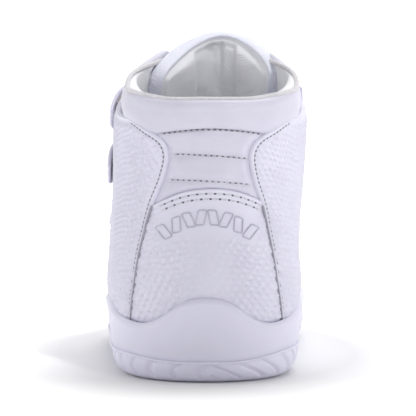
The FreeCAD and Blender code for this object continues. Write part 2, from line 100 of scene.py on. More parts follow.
class Spline:
    """Natural cubic spline, straight beyond both ends. ys may hold a row of values per knot."""

    def __init__(self, xs, ys):
        self.x = np.asarray(xs, float)
        self.y = np.asarray(ys, float)
        n = len(self.x)
        h = np.diff(self.x)
        slope = (np.diff(self.y, axis=0).T / h).T
        a = np.eye(n)
        rhs = np.zeros_like(self.y)
        for i in range(1, n - 1):
            a[i, i - 1:i + 2] = h[i - 1], 2 * (h[i - 1] + h[i]), h[i]
            rhs[i] = 6 * (slope[i] - slope[i - 1])
        self.bend = np.linalg.solve(a, rhs)
        self.h, self.slope = h, slope

    def __call__(self, x):
        x = np.asarray(x, float)
        i = np.clip(np.searchsorted(self.x, x) - 1, 0, len(self.h) - 1)
        many = self.y.ndim > 1
        c = np.clip(x, self.x[0], self.x[-1])
        t = c - self.x[i]
        h, b0, b1 = self.h[i], self.bend[i], self.bend[i + 1]
        beyond = x - c
        if many:
            t, h, beyond = t[..., None], h[..., None], beyond[..., None]
        start = self.slope[i] - h * (2 * b0 + b1) / 6
        y = self.y[i] + t * (start + t * (b0 / 2 + t * (b1 - b0) / (6 * h)))
        end = self.slope[-1] + self.h[-1] * self.bend[-2] / 6
        first = self.slope[0] - self.h[0] * self.bend[1] / 6
        return y + np.where(beyond < 0, beyond * first, beyond * end)


def ease(t):
    t = np.clip(t, 0, 1)
    return t * t * (3 - 2 * t)


def spring(y):
    """How far the toe spring lifts the shoe at a station."""
    return TOE_SPRING * np.maximum(0, (y - SPRING_START) / (SOLE_LENGTH - SPRING_START)) ** 2


LEVELS = np.arange(len(BACK))
back_y, back_z = Spline(LEVELS, [p[0] for p in BACK]), Spline(LEVELS, [p[1] for p in BACK])
front_y, front_z = Spline(LEVELS, [p[0] for p in FRONT]), Spline(LEVELS, [p[1] for p in FRONT])
back_at = Spline([p[1] for p in BACK], [p[0] for p in BACK])
front_at = Spline([p[1] for p in FRONT], [p[0] for p in FRONT])
plan_angles = np.arccos(1 - 2 * (np.array(PLAN_Y) - PLAN_Y[0]) / (PLAN_Y[-1] - PLAN_Y[0]))
plan_half = {-1: Spline(plan_angles, PLAN_LATERAL), 1: Spline(plan_angles, PLAN_MEDIAL)}
ankle_half = Spline(ANKLE_Z, ANKLE_HALF)
shift_x = Spline(SHIFT_Z, SHIFT_X)
seam_half = Spline(SEAM_Z, SEAM_HALF)
collar_seam = Spline(*zip(*COLLAR_SEAM))
topline = Spline(*zip(*TOPLINE))
arch_z = Spline(*zip(*COUNTER_ARCH))
vamp_seam = Spline([p[1] for p in VAMP_SEAM], [p[0] for p in VAMP_SEAM])
throat_half = Spline(THROAT_Y, THROAT_HALF)
throat_x = Spline(THROAT_Y, THROAT_X)
lip_z = Spline(np.radians(LIP_ANGLE), LIP_Z)
wall_out = Spline(WALL_Z, WALL_OUT)
level_basis = Spline(LEVELS, np.eye(len(BACK)))


def waist(side, y):
    return np.where(side > 0, WAIST[1], WAIST[-1]) * np.exp(-((y - WAIST_Y) / WAIST_REACH) ** 2)


def crown(y):
    """Height of the top of the last at a station ahead of the ankle."""
    lo, hi = 1.0, float(TOP)
    if y <= front_y(hi):
        return SOLE_LENGTH
    for _ in range(40):
        mid = (lo + hi) / 2
        lo, hi = (mid, hi) if front_y(mid) > y else (lo, mid)
    return float(front_z(lo))


def foot_width(side, y, z):
    """Half width of the last below the ankle."""
    toe = front_at(z) if z < WIDEST_Z else PLAN_Y[-1]
    heel = back_at(z)
    share = min(max((y - heel) / (toe - heel), 0.0), 1.0)
    half = plan_half[side](math.acos(1 - 2 * share))
    inset = (3.0 + waist(side, y)) * max(0.0, (28 - z) / 16.0) ** 1.5 * ease(share * (1 - share) * 30)
    rise = max(0.0, (z - WIDEST_Z) / (crown(y) - WIDEST_Z))
    return max(0.0, half - inset) * math.sqrt(max(0.0, 1 - rise ** 2.3))


def ankle_width(y, z):
    """Half width of the last from the ankle up."""
    heel, toe = back_at(z), front_at(z)
    share = min(max((y - heel) / (toe - heel), 0.0), 1.0)
    full = 4 * share * (1 - share)
    return ankle_half(z) * math.sqrt(full) * (1 + 0.16 * (1 - full) + 0.34 * (0.5 - share))


def width_ratio(side, level, turn):
    """Half width over the sine of the turn, mixed from the foot below and the ankle above."""
    share = (1 - math.cos(turn)) / 2
    y = back_y(level) + (front_y(level) - back_y(level)) * share
    z = back_z(level) + (front_z(level) - back_z(level)) * share
    mix = ease((z - 46) / 34.0)
    return ((1 - mix) * foot_width(side, y, z) + mix * ankle_width(y, z)) / math.sin(turn)


TURNS = np.radians(np.arange(10, 171, 10))
ratio_at = {side: Spline(TURNS, [[width_ratio(side, k, t) for k in LEVELS] for t in TURNS])
            for side in (-1, 1)}


def last(level, angle):
    """Points of the last's surface, without the toe spring."""
    level, angle = np.broadcast_arrays(np.asarray(level, float), np.asarray(angle, float))
    angle = angle % (2 * np.pi)
    medial = angle <= np.pi
    turn = np.where(medial, angle, 2 * np.pi - angle)
    share = (1 - np.cos(turn)) / 2
    y = back_y(level) + (front_y(level) - back_y(level)) * share
    z = back_z(level) + (front_z(level) - back_z(level)) * share
    ratio = np.where(medial[..., None], ratio_at[1](turn), ratio_at[-1](turn))
    ratio = (ratio * level_basis(level)).sum(-1)
    x = TOE_SHIFT * ease((y - 150) / 105.0) + shift_x(z) + np.sin(angle) * ratio
    return np.stack([x, y, z], -1)


def unit(v):
    return v / np.maximum(np.linalg.norm(v, axis=-1, keepdims=True), 1e-9)


def normals_of(shape, u, v, du=0.02, dv=0.01):
    """Normals of a surface, by finite differences."""
    n = np.cross(shape(u, v + dv) - shape(u, v - dv), shape(u + du, v) - shape(u - du, v))
    return unit(n)


def place(p):
    """Station coordinates in millimetres to the model's frame in metres."""
    q = np.array(p, float)
    q[..., 2] += spring(q[..., 1])
    q[..., 1] += HEEL_Y
    return q * 0.001


def on_last(level, angle, off):
    """Points at a height above the last's surface."""
    return last(level, angle) + normals_of(last, level, angle) * np.asarray(off)[..., None]


def run_along(path):
    """Distance along a line of points, from 0."""
    return np.concatenate([[0], np.cumsum(np.linalg.norm(np.diff(path, axis=0), axis=1))])


def arc_angles(level, start, stop, step):
    """Angles from start to stop in degrees, evenly spaced along the last at a level, in radians."""
    fine = np.radians(np.linspace(start, stop, 400))
    run = run_along(last(level, fine))
    count = max(4, int(round(run[-1] / (step * FINE))))
    return np.interp(np.linspace(0, run[-1], count + 1), run, fine)


GIRTH_LEVEL = 3.2
around = np.radians(np.linspace(-180, 180, 1441))
around_run = run_along(last(GIRTH_LEVEL, around))
around_run -= around_run[720]


def wrap(angle):
    return (np.asarray(angle) + np.pi) % (2 * np.pi) - np.pi


def from_heel(angle):
    """Angle from the middle of the heel, the same on both sides."""
    return np.minimum(angle, 2 * np.pi - angle)


def girth(angle):
    """Distance round the shoe from the middle of the heel, medial side positive."""
    return np.interp(wrap(angle), around, around_run)


# ---------------------------------------------------------------- seams, as signed distances
def back_seam(p):
    """Positive on the side panels, negative on the back panels."""
    d = np.abs(p[..., 0] - shift_x(p[..., 2])) - seam_half(p[..., 2])
    return d + 30 * ease((p[..., 1] - 38) / 14.0)


def side_top(p):
    return collar_seam(p[..., 1]) - p[..., 2]


def outside_throat(p, grow=0.0):
    x, y = p[..., 0], p[..., 1]
    across = np.abs(x - throat_x(np.minimum(y, THROAT_END + 5)))
    straight = across - throat_half(np.clip(y, THROAT_Y[0], THROAT_END))
    end = (np.sqrt((across / THROAT_END_HALF) ** 2 + ((y - THROAT_END) / THROAT_END_REACH) ** 2)
           - 1) * THROAT_END_HALF
    d = np.where(y < THROAT_END, straight, end)
    away = 45 * ease((84 - y) / 10.0) + 45 * ease((52 - p[..., 2]) / 8.0)
    return np.minimum(d + away, 40.0) - grow


def ahead_of_vamp_seam(p):
    return p[..., 1] - vamp_seam(p[..., 2])


def ahead_of_cap_seam(p):
    return p[..., 1] - (CAP_Y - CAP_BOW * (p[..., 0] / CAP_HALF) ** 2)


def above_arch(p):
    return p[..., 2] - arch_z(p[..., 0])


# ---------------------------------------------------------------- mesh making
FLIP_QUAD, FLIP_TRIANGLE = [0, 3, 2, 1], [0, 2, 1]


def grid_quads(rows, cols, ring_rows=False, ring_cols=False):
    """Quads between the points of a grid, which may close on itself either way."""
    i, j = np.meshgrid(np.arange(rows if ring_rows else rows - 1),
                       np.arange(cols if ring_cols else cols - 1), indexing="ij")
    i2, j2 = (i + 1) % rows, (j + 1) % cols
    return np.stack([i * cols + j, i * cols + j2, i2 * cols + j2, i2 * cols + j],
                    -1).reshape(-1, 4)
def add_object(name, verts, faces, body, material, replaces=()):
    """New piece from points in metres and lists of polygons."""
    mesh = bpy.data.meshes.new(name)
    counts = np.concatenate([np.full(len(f), f.shape[1]) for f in faces if len(f)])
    loops = np.concatenate([f.ravel() for f in faces if len(f)])
    mesh.vertices.add(len(verts))
    mesh.vertices.foreach_set("co", np.asarray(verts, np.float32).ravel())
    mesh.loops.add(len(loops))
    mesh.loops.foreach_set("vertex_index", loops.astype(np.int32))
    mesh.polygons.add(len(counts))
    starts = np.concatenate([[0], np.cumsum(counts)[:-1]])
    mesh.polygons.foreach_set("loop_start", starts.astype(np.int32))
    mesh.polygons.foreach_set("use_smooth", np.ones(len(counts), bool))
    mesh.update(calc_edges=True)
    mesh.validate()
    piece = bpy.data.objects.new(name, mesh)
    bpy.context.scene.collection.objects.link(piece)
    mesh.materials.append(material)
    if body:
        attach(piece, body)
        if replaces:
            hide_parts(*replaces)
    return piece


class Patch:
    """A grid on a surface, clipped by signed fields, that becomes a closed sheet."""

    def __init__(self, shape, us, vs, fields=()):
        self.shape = shape
        self.u, self.v = np.meshgrid(us, vs, indexing="ij")
        self.points = shape(self.u, self.v)
        self.distance = [self.true_distance(f) for f in fields]

    def true_distance(self, field):
        """Distance in millimetres from the line where a field is 0, with the field's sign."""
        f = field(self.points)
        fu, fv = np.gradient(f)
        pu, pv = np.gradient(self.points, axis=0), np.gradient(self.points, axis=1)
        e, g, m = (pu * pu).sum(-1), (pv * pv).sum(-1), (pu * pv).sum(-1)
        area = np.maximum(e * g - m * m, 1e-9)
        slope = np.sqrt(np.maximum((g * fu * fu - 2 * m * fu * fv + e * fv * fv) / area, 1e-6))
        return np.clip(f / np.clip(slope, 0.25, 4.0), -60, 60)

    def nearest(self):
        if not self.distance:
            return np.full(self.u.shape, 60.0)
        return np.min(self.distance, axis=0)

    def sheet(self, name, body, slot, material, inner, outer, replaces=(), sign=1, move=None):
        """outer(points, d, u, v) and inner are offsets along the normal, d the distance from
        the nearest seam. sign -1 puts the detailed face on the inside."""
        d = self.nearest()
        u, v = self.u.copy(), self.v.copy()
        rows, cols = d.shape
        if self.distance:
            du, dv = np.gradient(d)
            norm = np.maximum(du * du + dv * dv, 1e-9)
            near = (np.abs(d) < 0.38 * np.sqrt(norm)) & (d != 0)
            uu, _ = np.gradient(self.u)
            _, vv = np.gradient(self.v)
            u[near] -= (d * du / norm * uu)[near]
            v[near] -= (d * dv / norm * vv)[near]
            d = np.where(near, 0.0, d)
        quads = grid_quads(rows, cols)
        flat = d.ravel()
        fu, fv = u.ravel(), v.ravel()
        inside = (flat[quads] >= 0).sum(1)
        whole = quads[inside == 4]
        triangles = []
        extra_u, extra_v = [], []
        cuts = {}

        def cut(i, j):
            key = (i, j) if i < j else (j, i)
            if key not in cuts:
                t = flat[i] / (flat[i] - flat[j])
                cuts[key] = rows * cols + len(extra_u)
                extra_u.append(fu[i] + (fu[j] - fu[i]) * t)
                extra_v.append(fv[i] + (fv[j] - fv[i]) * t)
            return cuts[key]

        for q in quads[(inside > 0) & (inside < 4)]:
            loop = []
            for k in range(4):
                i, j = int(q[k]), int(q[(k + 1) % 4])
                if flat[i] >= 0:
                    loop.append(i)
                if (flat[i] > 0 > flat[j]) or (flat[i] < 0 < flat[j]):
                    loop.append(cut(i, j))
            if len(loop) >= 3:
                triangles += [(loop[0], loop[k], loop[k + 1]) for k in range(1, len(loop) - 1)]
        triangles = np.array(triangles, int).reshape(-1, 3)
        fu = np.concatenate([fu, extra_u])
        fv = np.concatenate([fv, extra_v])
        fd = np.concatenate([flat, np.zeros(len(extra_u))])
        used = np.zeros(len(fu), bool)
        used[whole.ravel()] = True
        used[triangles.ravel()] = True
        renumber = np.cumsum(used) - 1
        whole, triangles = renumber[whole], renumber[triangles]
        fu, fv, fd = fu[used], fv[used], np.maximum(fd[used], 0)
        p = self.shape(fu, fv)
        n = normals_of(self.shape, fu, fv) * sign
        top = p + n * np.asarray(outer(p, fd, fu, fv))[..., None]
        if move:
            top = top + move(fu, fv)
        low = p + n * np.broadcast_to(inner(p, fd, fu, fv) if callable(inner) else inner,
                                      fd.shape)[..., None]
        count = len(fu)
        edges = np.concatenate([np.stack([f[:, k], f[:, (k + 1) % f.shape[1]]], 1)
                                for f in (whole, triangles) for k in range(f.shape[1])])
        key = edges[:, 0] * (count + 1) + edges[:, 1]
        back = edges[:, 1] * (count + 1) + edges[:, 0]
        rim = edges[~np.isin(key, back)]
        walls = np.stack([rim[:, 1], rim[:, 0], rim[:, 0] + count, rim[:, 1] + count], 1)
        verts = place(np.concatenate([top, low]))
        faces = [whole, triangles, whole[:, ::-1] + count, triangles[:, ::-1] + count, walls]
        if sign < 0:
            faces = [f[:, ::-1] for f in faces]
        return add_object(name, verts, faces, body, material, replaces)

    def contour(self, which, value, keep=None):
        """Lines of (u, v) where one field's distance has a value, longest first."""
        f = self.distance[which] - value
        rows, cols = f.shape
        ok = keep if keep is not None else np.ones(f.shape, bool)
        ends = {}
        segments = []
        sign = f > 0
        mixed = (sign[:-1, :-1] != sign[1:, 1:]) | (sign[:-1, 1:] != sign[1:, :-1])
        mixed |= sign[:-1, :-1] != sign[:-1, 1:]
        mixed &= ok[:-1, :-1] & ok[1:, 1:] & ok[:-1, 1:] & ok[1:, :-1]
        for r, c in np.argwhere(mixed):
            corners = [(r, c), (r, c + 1), (r + 1, c + 1), (r + 1, c)]
            hits = []
            for k in range(4):
                i, j = corners[k], corners[(k + 1) % 4]
                if sign[i] != sign[j]:
                    hits.append((min(i, j), max(i, j)))
            if len(hits) == 2:
                segments.append(tuple(hits))
        for s, pair in enumerate(segments):
            for e in pair:
                ends.setdefault(e, []).append(s)
        done, lines = set(), []
        starts = [e for e, s in ends.items() if len(s) == 1] + list(ends)
        for e in starts:
            line = [e]
            while True:
                ahead = [s for s in ends[line[-1]] if s not in done]
                if not ahead:
                    break
                done.add(ahead[0])
                pair = segments[ahead[0]]
                line.append(pair[1] if pair[0] == line[-1] else pair[0])
            if len(line) > 3:
                out = []
                for i, j in line:
                    t = f[i] / (f[i] - f[j])
                    out.append((self.u[i] + (self.u[j] - self.u[i]) * t,
                                self.v[i] + (self.v[j] - self.v[i]) * t))
                lines.append(np.array(out))
        return sorted(lines, key=len, reverse=True)


def last_patch(levels, degrees, step, fields, at=None):
    """Patch on the last with a grid step in millimetres."""
    middle = (levels[0] + levels[1]) / 2 if at is None else at
    angles = arc_angles(middle, degrees[0], degrees[1], step)
    heights = last(np.linspace(*levels, 60), angles[len(angles) // 2])
    run = np.linalg.norm(np.diff(heights, axis=0), axis=1).sum()
    rows = max(4, int(round(run / (step * FINE))))
    return Patch(last, np.linspace(*levels, rows + 1), angles, fields)


# ---------------------------------------------------------------- materials
TONE = 0.90                           # brings all colours down to the photograph's exposure


def wire(tree, made, inputs):
    """Set a node's inputs: a socket is linked, anything else is a constant."""
    for key, value in inputs.items():
        if isinstance(value, bpy.types.NodeSocket):
            tree.links.new(value, made.inputs[key])
        else:
            made.inputs[key].default_value = value


def node(tree, kind, inputs, **settings):
    made = tree.nodes.new("ShaderNode" + kind)
    for key, value in settings.items():
        setattr(made, key, value)
    wire(tree, made, inputs)
    return made


def material(name, colour, dark, rough=0.45, grain=0.0006, bump=0.25, spread=0.012, coat=0.0,
             sheen=0.0, cells=False, weave=0.0):
    """Principled material with colour variation, roughness variation and a fine relief."""
    made = bpy.data.materials.new(name)
    made.use_nodes = True
    tree = made.node_tree
    spot = node(tree, "TexCoord", {}).outputs["Object"]
    mottle = node(tree, "TexNoise", {"Scale": 1 / spread, "Detail": 4, "Vector": spot}).outputs["Fac"]
    ramp = node(tree, "ValToRGB", {"Fac": mottle})
    for stop, at, tone in zip(ramp.color_ramp.elements, (0.3, 0.72), (dark, colour)):
        stop.position = at
        stop.color = (*(c * TONE for c in tone), 1)
    if weave:
        waves = [node(tree, "TexWave", {"Scale": 0.314 / weave, "Distortion": 0.6, "Vector": spot},
                      bands_direction=way).outputs["Fac"] for way in ("DIAGONAL", "Z")]
        height = node(tree, "Math", {0: waves[0], 1: waves[1]}, operation="MAXIMUM").outputs[0]
    else:
        fine = node(tree, "TexVoronoi" if cells else "TexNoise", {"Scale": 1 / grain, "Vector": spot})
        height = fine.outputs["Distance" if cells else "Fac"]
    relief = node(tree, "Bump", {"Strength": bump, "Distance": 0.0003, "Height": height})
    gloss = node(tree, "MapRange", {"To Min": rough - 0.07, "To Max": rough + 0.07, "Value": mottle})
    wire(tree, tree.nodes["Principled BSDF"], {
        "Base Color": ramp.outputs["Color"], "Normal": relief.outputs["Normal"],
        "Roughness": gloss.outputs["Result"], "Coat Weight": coat, "Coat Roughness": 0.35,
        "Sheen Weight": sheen, "Specular IOR Level": 0.4})
    return made


LEATHER = material("coated_leather", (0.80, 0.785, 0.905), (0.765, 0.75, 0.875), 0.42, 0.0007, 0.22,
                   cells=True, coat=0.08)
# Darker copy of the white leather: its lower tone paints the shade on the padded collar and in the
# hollow of the channelled heel panel.
LEATHER_IN_PAINTED_SHADE = material("leather_painted_shade", (0.69, 0.675, 0.785), (0.655, 0.64, 0.755), 0.42, 0.0007, 0.22,
                  cells=True, coat=0.08)
# Dark grey for the lines that paint the shade in the gap between the side panels and the heel counter.
SEAM_GAP_SHADE = material("painted_seam_gap_shade", (0.44, 0.43, 0.49), (0.36, 0.35, 0.41), 0.7, 0.0004, 0.4, 0.002)
EMBOSSED = material("embossed_leather", (0.80, 0.785, 0.91), (0.76, 0.745, 0.875), 0.46, 0.0005,
                    0.3, cells=True, coat=0.05)
SOLE = material("moulded_foam_sole", (0.81, 0.795, 0.935), (0.785, 0.77, 0.915), 0.5, 0.0004, 0.25)
RUBBER = material("moulded_rubber", (0.86, 0.845, 0.99), (0.825, 0.81, 0.96), 0.4, 0.0005, 0.2)
PIPING = material("piping_cloth", (0.86, 0.84, 0.88), (0.74, 0.72, 0.75), 0.8, 0.0005, 0.8,
                  0.002, sheen=0.3, weave=0.0006)
KNIT = material("rim_knit", (0.955, 0.965, 1.08), (0.90, 0.92, 1.05), 0.8, 0.0005, 0.7, 0.004,
                sheen=0.3, weave=0.0007)
LINING = material("lining_cloth", (1.07, 1.07, 1.11), (1.02, 1.025, 1.07), 0.62, 0.0004, 0.5,
                  0.006, sheen=0.25, weave=0.0005)
THREAD = material("thread", (0.72, 0.715, 0.77), (0.60, 0.595, 0.65), 0.6, 0.0003, 0.6, 0.001)
MOTIF = material("motif_line", (0.60, 0.585, 0.69), (0.52, 0.51, 0.61), 0.6, 0.0003, 0.3, 0.002)
# Near-black for small beads that paint the shade inside the needle holes between stitches.
HOLE_SHADE = material("needle_hole", (0.23, 0.225, 0.27), (0.16, 0.155, 0.2), 0.9, 0.0003, 0.2, 0.001)
TAPE = material("hook_tape", (0.60, 0.56, 0.57), (0.50, 0.46, 0.47), 0.85, 0.0006, 1.0, 0.001)
BOARD = material("fibre_board", (0.50, 0.45, 0.37), (0.42, 0.37, 0.30), 0.9, 0.0005, 0.5, 0.004)
STIFF = material("stiffener_sheet", (0.66, 0.65, 0.60), (0.58, 0.57, 0.52), 0.7, 0.0006, 0.3, 0.006)


# ---------------------------------------------------------------- relief
def rounded_edge(d, height, radius):
    t = np.clip(1 - d / radius, 0, 1)
    return -height * (1 - np.sqrt(np.maximum(0, 1 - t * t)))


def ridge(x, centre, width):
    return np.exp(-((x - centre) / width) ** 2)


def scales(g, z, wide=3.3, tall=2.15, radius=1.93):
    """Overlapping scales, each with its lower rim raised, from 0 to 1."""
    out = np.zeros(np.shape(g))
    taken = np.zeros(np.shape(g), bool)
    base = np.floor(z / tall)
    for m in (1, 0, -1):
        row = base + m
        shift = 0.5 * (row % 2)
        centre = wide * (np.round(g / wide - shift) + shift)
        r = np.hypot(g - centre, (z - row * tall) * 1.05)
        here = (r < radius) & ~taken & (z < row * tall + 0.6)
        out = np.where(here, 0.15 + 0.85 * (r / radius) ** 1.6, out)
        taken |= here
    return out


def above_lip(p):
    """0 where the upper is inside the sole cup, 1 above the lip."""
    return ease((p[..., 2] - 20.5) / 3.0)


# ---------------------------------------------------------------- padded cloth
SIM_SCALE = 0.02                      # cloth is simulated with 50 mm as one unit
SIM_FRAMES = 20
SMOOTHING = 6                         # passes that take out ripples finer than the cloth's grid


class Billow:
    """Cloth over padding: held along its seams, blown out between them by a pressure."""

    def __init__(self, shape, us, vs, hold, slack, pressure, cap, sign=1):
        self.u, self.v = us, vs
        self.moved = np.zeros((len(us), len(vs), 3))
        u, v = np.meshgrid(us, vs, indexing="ij")
        rest = shape(u, v)
        rows, cols = u.shape
        quads = grid_quads(rows, cols)[:, ::-sign]
        mesh = bpy.data.meshes.new("cloth")
        mesh.from_pydata((rest * SIM_SCALE).reshape(-1, 3).tolist(), [], quads.tolist())
        cloth = bpy.data.objects.new("cloth", mesh)
        scene = bpy.context.scene
        scene.collection.objects.link(cloth)
        group = cloth.vertex_groups.new(name="seams")
        for i, weight in enumerate(np.clip(hold(rest, u, v), 0, 1).ravel()):
            group.add([i], float(weight), "REPLACE")
        modifier = cloth.modifiers.new("cloth", "CLOTH")
        rules = modifier.settings
        rules.quality = 8
        rules.air_damping = 3.0
        rules.mass = 0.3
        rules.use_pressure = True
        rules.uniform_pressure_force = pressure
        rules.vertex_group_mass = "seams"
        rules.shrink_min = -slack
        rules.tension_stiffness = rules.compression_stiffness = 20
        rules.bending_stiffness = 6.0
        rules.effector_weights.gravity = 0
        modifier.collision_settings.use_collision = False
        modifier.point_cache.frame_start, modifier.point_cache.frame_end = 1, SIM_FRAMES
        for step in range(1, SIM_FRAMES + 1):
            scene.frame_set(step)
        result = cloth.evaluated_get(bpy.context.evaluated_depsgraph_get()).data
        blown = np.empty(rows * cols * 3, np.float32)
        result.vertices.foreach_get("co", blown)
        moved = blown.reshape(rows, cols, 3) / SIM_SCALE - rest
        for _ in range(SMOOTHING):
            inside = moved[1:-1, 1:-1]
            beside = (moved[:-2, 1:-1] + moved[2:, 1:-1] + moved[1:-1, :-2] + moved[1:-1, 2:]) / 4
            moved[1:-1, 1:-1] = inside * 0.5 + beside * 0.5
        far = np.linalg.norm(moved, axis=-1, keepdims=True)
        moved *= cap * np.tanh(far / cap) / np.maximum(far, 1e-6)
        bpy.data.objects.remove(cloth)
        bpy.data.meshes.remove(mesh)
        scene.frame_set(1)
        self.u, self.v = (np.linspace(a[0], a[-1], 4 * len(a)) for a in (us, vs))
        dense = Spline(us, moved.reshape(rows, -1))(self.u).reshape(-1, cols, 3)
        dense = np.swapaxes(dense, 0, 1)
        dense = Spline(vs, dense.reshape(cols, -1))(self.v).reshape(-1, len(self.u), 3)
        self.moved = np.swapaxes(dense, 0, 1)

    def __call__(self, u, v):
        """Millimetres by which the cloth moved at a place on the surface."""
        i = np.interp(u, self.u, np.arange(len(self.u)))
        j = np.interp(v, self.v, np.arange(len(self.v)))
        i0 = np.minimum(i.astype(int), len(self.u) - 2)
        j0 = np.minimum(j.astype(int), len(self.v) - 2)
        a, b = (i - i0)[..., None], (j - j0)[..., None]
        m = self.moved
        return ((m[i0, j0] * (1 - a) + m[i0 + 1, j0] * a) * (1 - b)
                + (m[i0, j0 + 1] * (1 - a) + m[i0 + 1, j0 + 1] * a) * b)


# ---------------------------------------------------------------- stitching
def frame_along(points, normals):
    tangents = unit(np.gradient(points, axis=0))
    side = unit(np.cross(tangents, normals))
    return tangents, side, unit(np.cross(side, tangents))


def resample(points, count):
    run = run_along(points)
    at = np.linspace(0, run[-1], count)
    return np.stack([np.interp(at, run, points[:, k]) for k in range(points.shape[1])], 1), run[-1]


def bead_shape(length, wide, high, around_=8, along=6):
    """Closed bead along X, as points and quads or triangles."""
    pts, quads, tris = [], [], []
    for i in range(along + 1):
        x = -math.cos(math.pi * i / along)
        r = max(math.sin(math.pi * i / along), 0.0) ** 0.6
        if i in (0, along):
            pts.append((x * length / 2, 0, 0))
            continue
        for k in range(around_):
            a = 2 * math.pi * k / around_
            pts.append((x * length / 2, r * wide / 2 * math.cos(a), r * high / 2 * math.sin(a)))
    for i in range(along - 2):
        for k in range(around_):
            a, b = 1 + i * around_ + k, 1 + i * around_ + (k + 1) % around_
            quads.append((a, a + around_, b + around_, b))
    final = len(pts) - 1
    for k in range(around_):
        tris.append((0, 1 + k, 1 + (k + 1) % around_))
        base = 1 + (along - 2) * around_
        tris.append((final, base + (k + 1) % around_, base + k))
    return np.array(pts), np.array(quads), np.array(tris)


class Stitching:
    """Collects stitches from many rows into one thread piece and one piece of dark beads that paint the
    shade in the needle holes.
    """

    def __init__(self):
        self.parts = {"thread": [], "hole": []}

    def add(self, kind, centre, tangent, side, normal, shape):
        pts, quads, tris = shape
        moved = centre + pts[:, :1] * tangent + pts[:, 1:2] * side + pts[:, 2:] * normal
        self.parts[kind].append((moved, quads, tris))

    def row(self, points, normals, pitch, dash=0.5, hole=(0.9, 0.62), thread=0.5):
        """A row of stitches along points: dash is the share of the pitch under thread, hole the size of
        the dark bead that paints the shade in each needle hole.
        """
        both, length = resample(np.hstack([points, normals]), 400)
        count = max(2, int(round(length / pitch)))
        where = (np.arange(count) + 0.5) / count * 399
        centres = np.stack([np.interp(where, np.arange(400), both[:, k]) for k in range(3)], 1)
        t, s, n = frame_along(both[:, :3], both[:, 3:])
        thread_shape = bead_shape(length / count * dash, thread, thread * 0.8)
        hole_shape = bead_shape(hole[0], hole[1], 0.34, 8, 4)
        for k, i in enumerate(where.astype(int)):
            self.add("thread", centres[k] + n[i] * 0.02, t[i], s[i], n[i], thread_shape)
            if k:
                # a dark bead between two stitches paints the shade in the needle hole
                gap = (centres[k] + centres[k - 1]) / 2 - n[i] * 0.02
                self.add("hole", gap, t[i], s[i], n[i], hole_shape)

    def build(self, prefix, body):
        for kind, mat in (("thread", THREAD), ("hole", HOLE_SHADE)):
            if not self.parts[kind]:
                continue
            verts, quads, tris, base = [], [], [], 0
            for pts, q, t in self.parts[kind]:
                verts.append(pts)
                quads.append(q + base)
                tris.append(t + base)
                base += len(pts)
            add_object(f"{prefix}_{kind}", place(np.concatenate(verts)),
                       [np.concatenate(quads), np.concatenate(tris)], body, mat)


stitches = Stitching()


def sew(patch, lines, pitch, lift, shortest=12.0, **how):
    """Stitch along contour lines of a patch at a height above the last."""
    for line in lines:
        p = patch.shape(line[:, 0], line[:, 1])
        if np.linalg.norm(np.diff(p, axis=0), axis=1).sum() < shortest:
            continue
        n = normals_of(patch.shape, line[:, 0], line[:, 1])
        smooth, _ = resample(np.hstack([p, n]), max(8, len(line) // 2))
        points = smooth[:, :3]
        for _ in range(3):
            points[1:-1] = (points[:-2] + 2 * points[1:-1] + points[2:]) / 4
        stitches.row(points + smooth[:, 3:] * lift, smooth[:, 3:], pitch, **how)


# ---------------------------------------------------------------- back of the shoe
def emboss_height(p, v):
    g, z = girth(v), p[..., 2]
    wander = 0.6 * np.sin(g * 0.23 + z * 0.11) + 0.4 * np.sin(z * 0.31 - g * 0.09)
    return scales(g + wander + 0.12 * z, z + 0.1 * np.abs(g) + 0.3 * np.sin(g * 0.37 + z * 0.15))


def quarter_outer(p, d, u, v):
    bead = 0.32 * ridge(d, 0.8, 0.5) - 0.32 * ridge(d, 1.8, 0.42)
    fade = 1 - 0.55 * ease((p[..., 1] - 105) / 40.0)
    texture = emboss_height(p, v) * ease((d - 2.3) / 1.2) * fade
    return PROUD + (bead + texture) * above_lip(p) + rounded_edge(d, 0.85, 0.9)


def make_quarters():
    close = {"dash": 0.52, "hole": (0.85, 0.62), "thread": 0.52}
    for name, degrees in (("medial", (8, 172)), ("lateral", (-172, -8))):
        patch = last_patch((0.02, 7.7), degrees, 0.55,
                           (back_seam, side_top, outside_throat, lambda p: -ahead_of_vamp_seam(p)),
                           at=4)
        patch.sheet(f"side_panel_{name}", "shoe", "embossed_leather", EMBOSSED, -1.4, quarter_outer,
                    (f"quarter_{name}",))
        rear, top, throat, _ = patch.distance
        clear = patch.points[..., 2] > 24
        sew(patch, patch.contour(0, 1.8, clear & (np.minimum(top, throat) > 1.8)), 1.75,
            PROUD - 0.12, **close)
        sew(patch, patch.contour(1, 1.0, (rear > 1.8) & (throat > 1)), 1.75, PROUD - 0.12, **close)
        sew(patch, patch.contour(3, 1.8, clear & (throat > 8)), 2.2, PROUD - 0.2)


def counter_outer(p, d, u, v):
    below = -above_arch(p)
    bead = 0.25 * ridge(below, 0.8, 0.6)
    rows = -0.28 * ridge(below, 1.9, 0.5) - 0.28 * ridge(below, 3.9, 0.5)
    soft = 0.35 + 0.65 * ease((np.abs(p[..., 0] - 1.5) - 4) / 9.0)
    low = ease((below - 16) / 5.0) + 0.75 * ease((np.abs(p[..., 0] - 1) - 17) / 3.0)
    texture = 0.85 * emboss_height(p, v) * ease((below - 5.4) / 1.5) * np.clip(low, 0, 1) * soft
    return 0.35 + (bead + rows + texture) * above_lip(p) + rounded_edge(below, 0.7, 0.8)


ROW_DROOP, ROW_LIFT, ROW_LEAN = (1.5, 0.4, 0.4), (0.2, -0.1, -1.2), (0, 0.06, 0.06)


def row_height(k, x):
    """Height of a stitched row; the rows droop a little to the sides."""
    return ROW_Z[k] - ROW_DROOP[k] * ((x - 1.8) / 18.0) ** 2 + ROW_LIFT[k] - ROW_LEAN[k] * x


